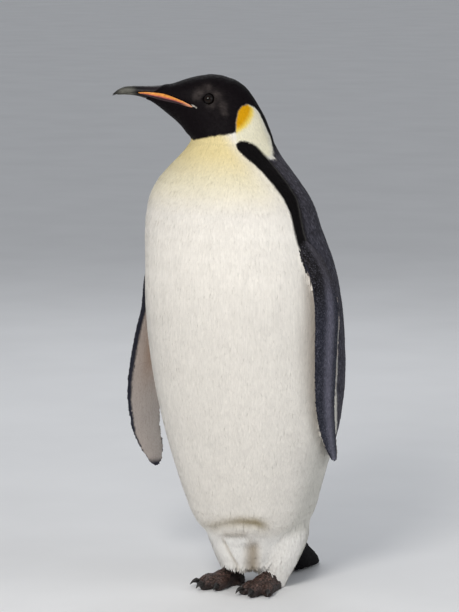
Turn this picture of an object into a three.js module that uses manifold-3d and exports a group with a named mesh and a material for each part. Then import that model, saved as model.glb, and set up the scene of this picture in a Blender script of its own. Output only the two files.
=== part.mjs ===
// Emperor penguin (Aptenodytes forsteri), a still, life-size museum model of a standing adult.
// Millimetres, +Z up, the floor at Z = 0. The trunk faces -Y, and the bird's left is +X.
// The head is turned to the bird's right. One master loft runs from the rump to the tip of the
// bill, and thin cuts part it into trunk, neck, head and bill. Flippers, legs, feet and tail are
// lofts of their own, cut back from what they grow from.
import * as THREE from 'three';
import { mergeVertices } from 'three/addons/utils/BufferGeometryUtils.js';
import Module from 'manifold-3d';

const wasm = await Module();
wasm.setup();

// ---------------------------------------------------------------- driving dimensions
const GAP = 0.32; // free space between neighbouring solids
// How finely the loft is cut up: corners round a section, and rings for each station
const TRUNK_MESH = { segments: 32, perStation: 1.5 };
const HEAD_MESH = { segments: 24, perStation: 2 };

const NECK_AXIS = { x: -15, y: -33 }; // upright line that the neck twists about
const HEAD_TURN = 55; // degrees that the head looks to the bird's right

const EYE_RADIUS = 10.5;
const EYE_DEPTH = 7.4; // from the skin down to the eyeball's centre
const EYE_STATION = 18.32; // where the eye lies along the loft, in stations
const EYE_ANGLE = 96; // round the section, from the throat
const EYE_MESH = [14, 9]; // segments round an eyeball and up it
const SOCKET_MESH = [16, 10];

const STANCE = 40; // from the midline to the middle of each ankle
const ANKLE_Y = 8; // ankle, along Y
const SOLE_RISE = 0.42; // share of a toe's height that lies below its middle

const PLUMAGE = { belly: 0xe9e5d6, chest: 0xe8dfb4, black: 0x161417, slate: 0x34353f };
const HORN = { black: 0x1b191c, orange: 0xd9763a, claw: 0x17130f, foot: 0x2b201b };
const EYE_COLOUR = 0x120c09;

// ---------------------------------------------------------------- body stations
// Each station is one section of the bird, seen from its side with the head straight ahead:
// belly and back are the [y, z] of the section's front and rear points, half is its half width,
// lean moves it along X, turn is its twist in degrees, and full is its squareness (2 is an ellipse).
const station = (belly, back, half, { lean = 0, turn = 0, full = 2.12 } = {}) => ({
  belly, back, half, lean, turn, full,
});

const TRUNK = [
  station([0, 38], [36, 42], 18), // lowest feathers between the legs
  station([-40, 46], [62, 56], 42),
  station([-61, 69], [92, 80], 64), // under the brood fold
  station([-76, 103], [118, 106], 85),
  station([-107, 140], [139, 145], 109, { lean: 3 }), // lip of the brood fold
  station([-131, 205], [151, 212], 130, { lean: 3 }),
  station([-153, 290], [168, 300], 157, { lean: 4 }),
  station([-172, 380], [176, 385], 173, { lean: 3 }),
  station([-184, 465], [174, 465], 179),
  station([-190, 545], [160, 540], 180, { lean: -1 }),
  station([-190, 618], [139, 612], 174, { lean: -3 }),
  station([-184, 676], [115, 672], 165, { lean: -10 }),
  station([-172, 724], [94, 720], 156, { lean: -13 }),
  station([-153, 763], [74, 759], 139, { lean: -16, turn: 4 }),
  station([-131, 799], [59, 797], 107, { lean: -16, turn: 14 }),
];
// The neck and head are given from the neck's axis: ahead is the distance in front of it.
const AHEAD = [
  // throat [ahead, z], nape [ahead, z], half width, turn as a share of HEAD_TURN, squareness
  [[75, 836], [-79, 832], 72, 0.56, 2.1], // collar
  [[82, 848.5], [-69, 859], 64, 0.78, 2.05],
  [[91.5, 862], [-53.5, 892], 56, 0.93, 2.05], // behind the ears
  [[103, 873.5], [-21, 937], 50, 1, 2.1], // eyes and cheeks
  [[116, 884.3], [26, 955.6], 43, 1, 2.1], // crown
  [[129, 895], [67, 952], 34, 1, 2.1], // forehead
  [[142.5, 904.8], [101, 941], 23.5, 1, 2.1], // lores
  [[157, 912.4], [125, 936.4], 15.5, 1, 2.1], // feathers end, the horn of the bill begins
  [[171, 916.7], [149, 935], 11.8, 1, 2.1],
  [[186, 918.8], [173, 935], 9.2, 1, 2.1],
  [[200, 919.2], [192, 934], 7.2, 1, 2.05],
  [[210, 918.8], [206, 928.4], 4.8, 1, 2],
  [[216.6, 917.4], [216, 920], 1.3, 1, 2], // tip
];
const HEAD = AHEAD.map(([throat, nape, half, share, full]) =>
  station([NECK_AXIS.y - throat[0], throat[1]], [NECK_AXIS.y - nape[0], nape[1]], half, {
    lean: NECK_AXIS.x, turn: HEAD_TURN * share, full,
  }));
const STATIONS = [...TRUNK, ...HEAD];

// Where the thin cuts part the loft, and how wide they are, in stations
const TRUNK_TOP = 13.2;
const NECK_TOP = 15.2;
const BILL_ROOT = TRUNK.length + 7;
const CUT = 0.03;

// ---------------------------------------------------------------- lofts
const radians = THREE.MathUtils.degToRad;

/** A smooth curve through values at whole numbers 0, 1, 2 ..., read at any number between. */
function through(values) {
  const points = values.map((v) => new THREE.Vector3(...v));
  const curve = new THREE.CatmullRomCurve3(points, false, 'catmullrom', 0.5);
  return (at) => curve.getPoint(THREE.MathUtils.clamp(at / (points.length - 1), 0, 1));
}

/** A closed solid's geometry from rings of equal length, counterclockwise seen from the last. */
function loft(rings) {
  const size = rings[0].length;
  const middle = (ring) => ring.reduce((sum, p) => sum.add(p), new THREE.Vector3())
    .divideScalar(size);
  const corners = [...rings.flat(), middle(rings[0]), middle(rings.at(-1))];
  const first = rings.length * size;
  const index = [];
  for (let j = 0; j < size; j += 1) {
    const k = (j + 1) % size;
    for (let i = 0; i < rings.length - 1; i += 1) {
      const [a, b] = [i * size + j, i * size + k];
      index.push(a, b, b + size, a, b + size, a + size);
    }
    const top = (rings.length - 1) * size;
    index.push(first, k, j, first + 1, top + j, top + k);
  }
  const geometry = new THREE.BufferGeometry().setFromPoints(corners);
  geometry.setIndex(index);
  return geometry;
}

const bellyLine = through(STATIONS.map((s) => [s.lean, ...s.belly]));
const backLine = through(STATIONS.map((s) => [s.lean, ...s.back]));
const sectionLine = through(STATIONS.map((s) => [s.half, s.turn, s.full]));

/** A point of the bird's surface: at in stations, angle in degrees from the belly to its left. */
function bodyPoint(at, angle, swell = 0) {
  const [front, rear] = [bellyLine(at), backLine(at)];
  const { x: half, y: turn, z: full } = sectionLine(at);
  const round = (value) => Math.sign(value) * Math.abs(value) ** (2 / full);
  const middle = front.clone().lerp(rear, 0.5);
  const reach = rear.clone().sub(front).multiplyScalar(0.5);
  reach.setLength(reach.length() + swell);
  const point = middle.addScaledVector(reach, -round(Math.cos(radians(angle))));
  point.x += (half + swell) * round(Math.sin(radians(angle)));
  const fromAxis = new THREE.Vector2(point.x, point.y);
  fromAxis.rotateAround(new THREE.Vector2(NECK_AXIS.x, NECK_AXIS.y), -radians(turn));
  return new THREE.Vector3(fromAxis.x, fromAxis.y, point.z);
}

/** The body between two places of the loft, as one closed solid. */
function bodyLength(from, to, swell = 0) {
  const { segments, perStation } = from < NECK_TOP ? TRUNK_MESH : HEAD_MESH;
  const count = Math.max(2, Math.round((to - from) * perStation));
  const rings = [];
  for (let i = 0; i <= count; i += 1) {
    const at = from + ((to - from) * i) / count;
    rings.push(Array.from({ length: segments }, (_, j) =>
      bodyPoint(at, (360 * j) / segments, swell)));
  }
  return loft(rings);
}

// ---------------------------------------------------------------- solids and cuts
const WELD = 1e-4; // corners nearer than this are one

/** A copy of a geometry with nothing but corners, each of them shared by its faces. */
function welded(geometry) {
  const bare = new THREE.BufferGeometry()
    .setAttribute('position', geometry.getAttribute('position').clone());
  bare.setIndex(geometry.index);
  return mergeVertices(bare, WELD);
}

/** A manifold-3d solid of a closed geometry. */
function solid(geometry) {
  const merged = welded(geometry);
  return new wasm.Manifold(new wasm.Mesh({
    numProp: 3,
    vertProperties: new Float32Array(merged.attributes.position.array),
    triVerts: new Uint32Array(merged.index.array),
  }));
}

/** The largest of the separate bodies of a solid. */
const largestOf = (body) => body.decompose().sort((a, b) => b.volume() - a.volume())[0];

/** The geometry of a manifold-3d solid. */
function shapeOf(manifold) {
  const { vertProperties, triVerts } = manifold.getMesh();
  return new THREE.BufferGeometry()
    .setAttribute('position', new THREE.BufferAttribute(new Float32Array(vertProperties), 3))
    .setIndex(new THREE.BufferAttribute(new Uint32Array(triVerts), 1));
}

/** The same closed geometry with its surface moved out along its normals. */
function grown(geometry, distance = GAP) {
  const merged = welded(geometry);
  merged.computeVertexNormals();
  const { position, normal } = merged.attributes;
  for (let i = 0; i < position.count; i += 1) {
    position.setXYZ(
      i,
      position.getX(i) + normal.getX(i) * distance,
      position.getY(i) + normal.getY(i) * distance,
      position.getZ(i) + normal.getZ(i) * distance,
    );
  }
  return merged;
}

/** The geometry itself for the left side, or its mirror image for the right. */
function mirrored(geometry, side) {
  if (side > 0) return geometry;
  const copy = geometry.clone().scale(-1, 1, 1);
  const { array } = copy.index;
  for (let i = 0; i < array.length; i += 3) [array[i], array[i + 1]] = [array[i + 1], array[i]];
  return copy;
}

const penguin = new THREE.Group();

/** Adds one named piece to the bird. */
function piece(name, geometry, color, roughness = 0.7) {
  const mesh = new THREE.Mesh(geometry, new THREE.MeshStandardMaterial({
    color, roughness, metalness: 0,
  }));
  mesh.name = name;
  penguin.add(mesh);
  return mesh;
}

// ---------------------------------------------------------------- flippers
// Sections across a flipper from the shoulder to the tip: half the chord, and the thickness
const FLIPPER_PLAN = [
  [26, 26], [29, 26], [33, 24], [38, 20], [42, 17], [41.5, 15], [39.5, 13.5], [37, 12],
  [33.5, 10.5], [28.5, 8.5], [20.5, 6.5], [13, 5], [4, 3],
];
// The same sections' middles, and how far the chord is turned out of line with the trunk
const FLIPPER_AXIS = {
  left: [
    [116, -44, 704, 0], [151, -46, 656, 0], [178, -44, 612, 0], [188, -40, 575, 0],
    [193, -38, 524, 0], [192, -38, 478, 0], [190, -36, 444, 0], [186, -31, 397, 0],
    [180, -19, 354, -3], [172, 4, 313, -6], [164, 31, 274, -8], [161.5, 43, 257, -8],
    [160, 49, 249, -8],
  ],
  right: [
    [-116, -26, 704, 0], [-153, -23, 656, 3], [-182, -18, 608, 6], [-194, -13, 560, 9],
    [-197, -8, 511, 14], [-206, -10.5, 466, 20], [-213.7, -13.3, 420, 26],
    [-221.6, -15.5, 364, 32], [-222.4, -15.2, 323, 36], [-219, -12.4, 275, 40],
    [-209.5, -2.8, 235, 40], [-205.8, -1.8, 216, 40], [-204, -1, 207, 40],
  ],
};
const FLIPPER_SEGMENTS = 12;
const FLIPPER_RINGS = 14;
const RING_SPACING = 0.9; // below 1, rings crowd towards the tip
const BLADE_EDGE = 0.28; // how much blunter the leading edge is than the trailing one
const SLOPE_STEP = 0.1; // in stations, to either side, for a direction along the spine

/** One flipper: a thin blade, blunt at its leading edge and sharp at its trailing one. */
function flipper(axis) {
  const spine = through(axis.map(([x, y, z]) => [x, y, z]));
  const yaw = through(axis.map((row) => [row[3], 0, 0]));
  const plan = through(FLIPPER_PLAN.map(([half, thick]) => [half, thick, 0]));
  const last = FLIPPER_PLAN.length - 1;
  const rings = [];
  for (let i = 0; i <= FLIPPER_RINGS; i += 1) {
    const at = last * (i / FLIPPER_RINGS) ** RING_SPACING;
    const down = spine(at + SLOPE_STEP).sub(spine(at - SLOPE_STEP)).normalize();
    const turn = radians(yaw(at).x);
    const across = new THREE.Vector3(Math.sin(turn), Math.cos(turn), 0).projectOnPlane(down)
      .normalize();
    const out = new THREE.Vector3().crossVectors(down, across);
    const { x: half, y: thick } = plan(at);
    rings.push(Array.from({ length: FLIPPER_SEGMENTS }, (_, j) => {
      const angle = (2 * Math.PI * j) / FLIPPER_SEGMENTS;
      const forward = Math.cos(angle);
      const depth = (thick / 2) * (1 - BLADE_EDGE + BLADE_EDGE * forward);
      return spine(at).addScaledVector(across, -half * forward)
        .addScaledVector(out, depth * Math.sin(angle));
    }));
  }
  return loft(rings.reverse());
}

// ---------------------------------------------------------------- feet and claws
// Toes: angle from the foot's own heading towards the outside, length, half width and height
// at the root
const FOOT_TURN = 10; // toes out
const TOES = [
  { name: 'inner', angle: -20, length: 73, half: 14, height: 28 },
  { name: 'middle', angle: 0, length: 82, half: 14.5, height: 30 },
  { name: 'outer', angle: 21, length: 71, half: 13.5, height: 28 },
];
const HALLUX = { name: 'hind', angle: -72, length: 32, half: 6.5, height: 14, claw: 0.5 };
const TOE_SEGMENTS = 8;
// Along a toe: share of its length, and the width and height there as shares of the root's
const TOE_PROFILE = [
  [0, 1, 1.15], [0.36, 1.02, 1], [0.52, 0.92, 0.82], [0.7, 0.96, 0.84], [0.88, 0.78, 0.64],
  [1, 0.5, 0.4],
];
const CLAW_LENGTH = 21; // a full claw; a toe's own claw value is its share of that
const CLAW_LET_IN = 3; // how far a claw is let into its toe
const CLAW_MESH = { segments: 6, steps: 3 };
// A claw's half width, half height, middle and arch, as shares of its toe's half width or height
const CLAW_SHAPE = { half: 0.44, rise: 0.23, middle: 0.3, arch: 0.2 };
const CLAW_TIP = 0.05; // thickness left at the point, as a share of the root's
// The web: its reach as a share of the toes', height, depth of its scallops, how far it reaches
// beyond the toes' length before that share is taken, and its corners beside the heel
const WEB = { share: 0.84, height: 13, scallop: 0.12, beyond: 9, heel: [23, 10], steps: 8 };
// The shank: height, half width, half depth, and how far back its middle stands
const SHANK = [[0, 20, 17, 0], [14, 21, 19, 1], [30, 20, 19, 4], [48, 15, 16, 9]];
const SHANK_SEGMENTS = 12;

/** Half a rounded section with a flat underside, as a ring across the direction ahead. */
function soleRing(centre, ahead, half, height) {
  const across = new THREE.Vector3(0, 0, 1).cross(ahead).normalize();
  return Array.from({ length: TOE_SEGMENTS }, (_, j) => {
    const angle = (2 * Math.PI * (j + 0.5)) / TOE_SEGMENTS;
    const z = height * (SOLE_RISE + (1 - SOLE_RISE) * Math.sin(angle));
    return centre.clone().addScaledVector(across, half * Math.cos(angle))
      .setZ(Math.max(0, z));
  });
}

/** The direction ahead along a toe of the left foot. */
function heading(angle) {
  const turn = radians(angle + FOOT_TURN);
  return new THREE.Vector3(Math.sin(turn), -Math.cos(turn), 0);
}

/** One toe, from the ankle to where its claw begins. */
function toe({ angle, length, half, height }) {
  const ahead = heading(angle);
  const root = new THREE.Vector3(STANCE, ANKLE_Y, 0);
  return loft(TOE_PROFILE.map(([share, wide, tall]) => soleRing(
    root.clone().addScaledVector(ahead, length * share),
    ahead,
    half * wide,
    height * tall,
  )));
}

/** The toes' web: a low sheet from the ankle out to most of the toes' length. */
function web() {
  const rim = [];
  const [inner, , outer] = TOES;
  for (let i = 0; i <= WEB.steps; i += 1) {
    const share = i / WEB.steps;
    const angle = THREE.MathUtils.lerp(inner.angle, outer.angle, share);
    const scallop = WEB.scallop * Math.abs(Math.sin(2 * Math.PI * share));
    const length = THREE.MathUtils.lerp(inner.length, outer.length, share) + WEB.beyond;
    rim.push(heading(angle).multiplyScalar(length * (WEB.share - scallop)));
  }
  const [aside, behind] = WEB.heel;
  const outline = new THREE.Shape([
    new THREE.Vector2(STANCE - aside, ANKLE_Y + behind),
    ...rim.map((p) => new THREE.Vector2(STANCE + p.x, ANKLE_Y + p.y)),
    new THREE.Vector2(STANCE + aside, ANKLE_Y + behind),
  ]);
  return new THREE.ExtrudeGeometry(outline, { depth: WEB.height, bevelEnabled: false });
}

/** The short shank and heel, from the sole up into the leg feathers. */
function shank() {
  return loft(SHANK.map(([z, half, deep, back]) =>
    Array.from({ length: SHANK_SEGMENTS }, (_, j) => {
      const angle = (2 * Math.PI * j) / SHANK_SEGMENTS;
      return new THREE.Vector3(
        STANCE + half * Math.cos(angle),
        ANKLE_Y + back + deep * Math.sin(angle),
        z,
      );
    })));
}

/** One claw, curved down from the end of its toe. */
function claw({ angle, length, half, height, claw: scale = 1 }) {
  const ahead = heading(angle);
  const across = new THREE.Vector3(0, 0, 1).cross(ahead).normalize();
  const root = new THREE.Vector3(STANCE, ANKLE_Y, 0).addScaledVector(ahead, length - CLAW_LET_IN);
  const rings = [];
  for (let i = 0; i <= CLAW_MESH.steps; i += 1) {
    const share = i / CLAW_MESH.steps;
    const arch = CLAW_SHAPE.arch * (Math.sin(Math.PI * share * 0.9) - share ** 2);
    const centre = root.clone().addScaledVector(ahead, CLAW_LENGTH * scale * share);
    centre.z = height * (CLAW_SHAPE.middle + arch);
    const thin = (1 - share ** 1.6) * (1 - CLAW_TIP) + CLAW_TIP;
    rings.push(Array.from({ length: CLAW_MESH.segments }, (_, j) => {
      const round = (2 * Math.PI * (j + 0.5)) / CLAW_MESH.segments;
      const rise = height * CLAW_SHAPE.rise * thin * Math.sin(round);
      return centre.clone()
        .addScaledVector(across, half * CLAW_SHAPE.half * thin * Math.cos(round))
        .add(new THREE.Vector3(0, 0, rise));
    }));
  }
  return loft(rings);
}

// ---------------------------------------------------------------- legs and tail
// Feathered legs: height, middle [x, y], half width and half depth. The heel feathers hang down
// behind the foot to the floor.
const LEG = [
  [166, [57, 21], 38, 55], [134, [60, 27], 49, 60], [102, [57, 31], 47, 54],
  [72, [54, 31], 41, 45], [51, [51, 29.7], 33, 38], [32, [49, 27], 25, 29],
  [14, [49, 30], 17, 19], [0, [49, 33.6], 10, 10],
];
const LEG_SEGMENTS = 14;

/** One leg's feathers, from inside the trunk down to the floor. */
function leg() {
  return loft([...LEG].reverse().map(([z, [x, y], half, deep]) =>
    Array.from({ length: LEG_SEGMENTS }, (_, j) => {
      const angle = (2 * Math.PI * j) / LEG_SEGMENTS;
      return new THREE.Vector3(x + half * Math.cos(angle), y + deep * Math.sin(angle), z);
    })));
}

// Tail: underside [y, z], upper side [y, z] and half width, from inside the rump to the tip
const TAIL = [
  [[62, 62], [66, 138], 38], [[94, 36], [104, 121], 40], [[122, 12], [133, 98], 39],
  [[148, 0], [157, 71], 37], [[176, -1], [182, 48], 34], [[204, -1], [207, 30], 28],
  [[228, -1], [230, 10], 18], [[246, 0], [246.5, 3], 8],
];
const TAIL_MESH = { segments: 14, perStation: 1.5 };
const TAIL_ROUND = 0.85; // below 1, its sections are squarer than an ellipse

/** The stiff tail, from inside the rump to its tip on the floor. */
function tail() {
  const under = through(TAIL.map(([low, , half]) => [half, ...low]));
  const upper = through(TAIL.map(([, high, half]) => [half, ...high]));
  const rings = [];
  const { segments, perStation } = TAIL_MESH;
  const square = (value) => Math.sign(value) * Math.abs(value) ** TAIL_ROUND;
  const count = Math.round((TAIL.length - 1) * perStation);
  for (let i = 0; i <= count; i += 1) {
    const [low, high] = [under(i / perStation), upper(i / perStation)];
    rings.push(Array.from({ length: segments }, (_, j) => {
      const angle = (2 * Math.PI * j) / segments;
      const rise = (1 + square(Math.sin(angle))) / 2;
      return new THREE.Vector3(
        -low.x * square(Math.cos(angle)),
        THREE.MathUtils.lerp(low.y, high.y, rise),
        Math.max(0, THREE.MathUtils.lerp(low.z, high.z, rise)),
      );
    }));
  }
  return loft(rings);
}

// ---------------------------------------------------------------- bill
// Lines on the side of the bill, as [ahead of the neck's axis, z]: the gape, which parts the
// upper from the lower bill, and the outline of the orange plate below it.
const GAPE = [
  [220, 918.4], [205, 920.4], [189, 922.4], [173, 924.2], [158, 925.2], [142, 924.6],
  [126, 923.1], [114, 920], [103, 916], [90, 910.8], [78, 904.8], [66, 896.8],
];
const PLATE_TOP = [
  [171, 923.8], [158, 924.6], [142, 924], [126, 922.5], [114, 919.4], [103, 915.4],
  [90, 910.2], [78, 904.2], [72, 900.2],
];
const PLATE_FOOT = [
  [73.5, 898.8], [84, 901.2], [97, 904.6], [112, 907.4], [124, 909.4], [136, 912.4],
  [149, 916], [162, 919.8],
];
const PLATE_PROUD = 0.7; // how far the plate stands out of the bill
const PLATE_SUNK = 2.4; // how deep it is let in
const PLATE_SPAN = [17, BILL_ROOT + 2.5]; // the length of loft that the plates are shaped on
const PLATE_ROOM = 0.4; // free space round the plate's outline
const PRISM_HALF = 60; // half width of the prisms that part the bill
const PRISM_AHEAD = 240; // how far ahead they reach
const PRISM_Z = [850, 990]; // how low and high they reach

/** A prism across the head, whose outline is given as [ahead, z]. */
function prism(outline, from, to) {
  const shape = new THREE.Shape(outline.map(([ahead, z]) => new THREE.Vector2(ahead, z)));
  const geometry = new THREE.ExtrudeGeometry(shape, { depth: to - from, bevelEnabled: false });
  geometry.translate(0, 0, from);
  // The outline's x runs ahead along -Y, its y upwards, and the extrusion to the bird's right.
  geometry.applyMatrix4(new THREE.Matrix4().makeBasis(
    new THREE.Vector3(0, -1, 0),
    new THREE.Vector3(0, 0, 1),
    new THREE.Vector3(-1, 0, 0),
  ));
  return geometry.rotateZ(-radians(HEAD_TURN)).translate(NECK_AXIS.x, NECK_AXIS.y, 0);
}

/** Everything above or below the gape, as a solid to cut the bill with. */
function besideGape(rise, level) {
  const line = GAPE.map(([ahead, z]) => [ahead, z + rise]);
  const [corner, front] = [GAPE.at(-1)[0], PRISM_AHEAD];
  const rim = [[corner, level], [front, level], [front, GAPE[0][1] + rise]];
  return solid(prism([...line, ...rim], -PRISM_HALF, PRISM_HALF));
}

/** A closed counterclockwise outline moved outwards along the mitres of its corners. */
function spread(outline, by) {
  const corners = outline.map(([ahead, z]) => new THREE.Vector2(ahead, z));
  const normal = (from, to) => {
    const along = to.clone().sub(from).normalize();
    return new THREE.Vector2(along.y, -along.x);
  };
  return corners.map((corner, i) => {
    const before = normal(corners.at(i - 1), corner);
    const after = normal(corner, corners[(i + 1) % corners.length]);
    const mitre = before.clone().add(after).divideScalar(1 + before.dot(after));
    return corner.clone().addScaledVector(mitre, by).toArray();
  });
}

const plateBody = (swell) => solid(bodyLength(...PLATE_SPAN, swell));

/** The orange plate of one side, and the pocket that it lies in. */
function plateAndPocket(side) {
  const [from, to] = side > 0 ? [-PRISM_HALF, 0] : [0, PRISM_HALF];
  const outline = [...PLATE_TOP, ...PLATE_FOOT];
  const plate = plateBody(PLATE_PROUD).subtract(plateBody(-PLATE_SUNK))
    .intersect(solid(prism(outline, from, to)));
  const pocket = solid(prism(spread(outline, PLATE_ROOM), from, to))
    .subtract(plateBody(-PLATE_SUNK - GAP));
  return [largestOf(plate), pocket];
}

// ---------------------------------------------------------------- eyes
const TANGENT = { stations: 0.2, degrees: 6 }; // steps over the skin that give its directions

/** The middle of one eyeball, EYE_DEPTH under the skin. */
function eyeCentre(side) {
  const skin = bodyPoint(EYE_STATION, side * EYE_ANGLE);
  const ahead = bodyPoint(EYE_STATION + TANGENT.stations, side * EYE_ANGLE).sub(skin);
  const round = bodyPoint(EYE_STATION, side * (EYE_ANGLE + TANGENT.degrees)).sub(skin);
  const inward = new THREE.Vector3().crossVectors(ahead, round).setLength(side * EYE_DEPTH);
  return skin.add(inward);
}

// ---------------------------------------------------------------- trunk, neck and limbs
const SIDES = [['left', 1], ['right', -1]];
const parting = (place) => [place - CUT / 2, place + CUT / 2];
const [trunkEnd, neckStart] = parting(TRUNK_TOP);
const [neckEnd, headStart] = parting(NECK_TOP);
const [headEnd, billStart] = parting(BILL_ROOT);
const loftEnd = STATIONS.length - 1;

piece('trunk', bodyLength(0, trunkEnd), PLUMAGE.belly);
piece('neck', bodyLength(neckStart, neckEnd), PLUMAGE.chest);
const trunkTool = solid(grown(bodyLength(0, TRUNK_TOP)));
piece('tail', shapeOf(solid(tail()).subtract(trunkTool)), PLUMAGE.black);

const ROOM = 400; // a box wider than both feet, standing on the floor
const aboveFloor = solid(new THREE.BoxGeometry(ROOM, ROOM, ROOM).translate(0, 0, ROOM / 2));
const footShape = shapeOf([...[...TOES, HALLUX].map(toe), web(), shank()].map(solid)
  .reduce((joined, part) => joined.add(part))
  .intersect(aboveFloor)
  .subtract(trunkTool));
const footTool = solid(grown(footShape));
const tailTool = solid(grown(tail()));

for (const [name, side] of SIDES) {
  const legShape = largestOf(solid(mirrored(leg(), side))
    .subtract(trunkTool)
    .subtract(solid(mirrored(grown(footShape), side)))
    .subtract(tailTool));
  piece(`leg_${name}`, shapeOf(legShape), PLUMAGE.belly);
  piece(`foot_${name}`, mirrored(footShape, side), HORN.foot, 0.6);
  for (const digit of [...TOES, HALLUX]) {
    const nail = shapeOf(largestOf(solid(claw(digit)).subtract(footTool)));
    piece(`claw_${name}_${digit.name}`, mirrored(nail, side), HORN.claw, 0.45);
  }
  const blade = largestOf(solid(flipper(FLIPPER_AXIS[name])).subtract(trunkTool));
  piece(`flipper_${name}`, shapeOf(blade), PLUMAGE.slate, 0.55);
}

// ---------------------------------------------------------------- head and bill
let head = solid(bodyLength(headStart, headEnd));
const bill = solid(bodyLength(billStart, loftEnd));
const upperBill = bill.intersect(besideGape(GAP / 2, PRISM_Z[1]));
let lowerBill = bill.intersect(besideGape(-GAP / 2, PRISM_Z[0]));

for (const [name, side] of SIDES) {
  const centre = eyeCentre(side).toArray();
  const socket = new THREE.SphereGeometry(EYE_RADIUS + GAP, ...SOCKET_MESH).translate(...centre);
  head = head.subtract(solid(socket));
  const ball = new THREE.SphereGeometry(EYE_RADIUS, ...EYE_MESH);
  piece(`eye_${name}`, ball, EYE_COLOUR, 0.1).position.set(...centre);

  const [plate, pocket] = plateAndPocket(side);
  head = head.subtract(pocket);
  lowerBill = lowerBill.subtract(pocket);
  piece(`bill_plate_${name}`, shapeOf(plate), HORN.orange, 0.35);
}
piece('head', shapeOf(largestOf(head)), PLUMAGE.black, 0.6);
piece('bill_upper', shapeOf(largestOf(upperBill)), HORN.black, 0.35);
piece('bill_lower', shapeOf(largestOf(lowerBill)), HORN.black, 0.35);

// The origin is on the floor, under the middle of the model.
const extent = new THREE.Box3().setFromObject(penguin);
const middle = extent.getCenter(new THREE.Vector3());
penguin.position.set(-middle.x, -middle.y, -extent.min.z);

export default penguin;
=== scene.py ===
"""Emperor penguin: skin, coat of vanes, eyes with lids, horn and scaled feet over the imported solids.

All shaping is done in the bird's own frame, in millimetres: x to its left, y behind it, z up,
with the origin on the ground between its feet. row() turns that into the frame's metres.
"""
import math

import bmesh
import bpy
import numpy as np
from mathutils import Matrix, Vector
from mathutils.bvhtree import BVHTree
from mathutils.kdtree import KDTree


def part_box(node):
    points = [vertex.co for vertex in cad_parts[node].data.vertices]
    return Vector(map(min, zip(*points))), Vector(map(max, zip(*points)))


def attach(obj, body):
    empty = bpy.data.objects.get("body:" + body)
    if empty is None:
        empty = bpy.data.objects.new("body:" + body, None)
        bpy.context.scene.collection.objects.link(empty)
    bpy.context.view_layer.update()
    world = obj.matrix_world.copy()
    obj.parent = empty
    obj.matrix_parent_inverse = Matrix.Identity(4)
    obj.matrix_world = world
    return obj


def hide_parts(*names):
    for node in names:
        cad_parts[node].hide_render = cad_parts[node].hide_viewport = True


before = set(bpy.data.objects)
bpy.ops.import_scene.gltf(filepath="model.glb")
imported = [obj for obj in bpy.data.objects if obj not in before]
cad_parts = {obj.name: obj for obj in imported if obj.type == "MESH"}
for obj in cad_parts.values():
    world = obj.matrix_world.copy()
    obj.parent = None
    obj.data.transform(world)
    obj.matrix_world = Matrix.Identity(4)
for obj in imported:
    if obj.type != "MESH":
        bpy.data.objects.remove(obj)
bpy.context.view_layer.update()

MM = 0.001
RNG = np.random.default_rng(11)

# ---------------------------------------------------------------- the bird's frame

FOOT_MIDDLE_Y = -21.4  # the foot's middle, ahead of the point between the feet
HEAD_TURN = 55.0  # degrees that the head looks to its right


def middle(node):
    """The middle of a CAD node's box, in the frame's millimetres."""
    low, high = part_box(node)
    return (np.array(low) + np.array(high)) / 2 / MM


between_feet = (middle("foot_left") + middle("foot_right")) / 2
SHIFT = np.array([between_feet[0], between_feet[1] - FOOT_MIDDLE_Y, 0.0])


def row(points):
    """The bird's millimetres as the frame's metres."""
    return (np.asarray(points, float) + SHIFT) * MM


def smooth(low, high, x):
    """A soft step from 0 at low to 1 at high; it falls instead where low is the larger."""
    t = np.clip((np.asarray(x, float) - low) / (high - low), 0, 1)
    return t * t * (3 - 2 * t)


def within(x, low, full, fade, gone):
    """A soft band: it rises from low to full, and falls from fade to gone."""
    return smooth(low, full, x) * (1 - smooth(fade, gone, x))


def hump(x, centre, reach):
    """A soft hump, 1 at its centre."""
    return np.exp(-((x - centre) / reach) ** 2)


def unit(v):
    return v / np.maximum(np.linalg.norm(v, axis=-1, keepdims=True), 1e-9)


# The body's middle and its twist towards the head's direction, at heights up the bird.
MID_Z = [100, 208, 295, 382, 465, 542, 615, 674, 722, 761, 799, 840]
MID_X = [0, 3, 4, 3, 0, -1, -3, -10, -13, -16, -16, -15]
MID_Y = [-15, -15, -15, -15, -15, -15, -15, -15, -18, -23, -28, -33]
TWIST_Z = [740, 761, 799, 834, 853, 877, 905]
TWIST = [0, 4, 14, 31, 43, 51, HEAD_TURN]


def untwisted(points):
    """Points as if the bird looked straight ahead: how far ahead, how far left, and height."""
    x, y, z = points[:, 0], points[:, 1], points[:, 2]
    dx, dy = x - np.interp(z, MID_Z, MID_X), y - np.interp(z, MID_Z, MID_Y)
    turn = np.radians(np.interp(z, TWIST_Z, TWIST))
    ahead = -dx * np.sin(turn) - dy * np.cos(turn)
    left = dx * np.cos(turn) - dy * np.sin(turn)
    return ahead, left, z


head_turn = math.radians(HEAD_TURN)
AHEAD = np.array([-math.sin(head_turn), -math.cos(head_turn), 0.0])  # the way the bill points
LEFT = np.array([math.cos(head_turn), -math.sin(head_turn), 0.0])
UP = np.array([0.0, 0.0, 1.0])
HEAD_AXIS = np.array([-15.0, -33.0, 0.0])

# ---------------------------------------------------------------- meshes in and out

CREASE_ANGLE = 38.0  # degrees between facets from which a solid's edge is kept as an edge
BEND = 0.75  # how far facets bow out to the surface that their normals describe
SHRINK, SWELL = 0.55, 0.57  # the two steps of smoothing, the second of which undoes the shrinking
FLOOR_CLEARANCE = 0.4  # mm between the floor and the lowest feathers


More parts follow.
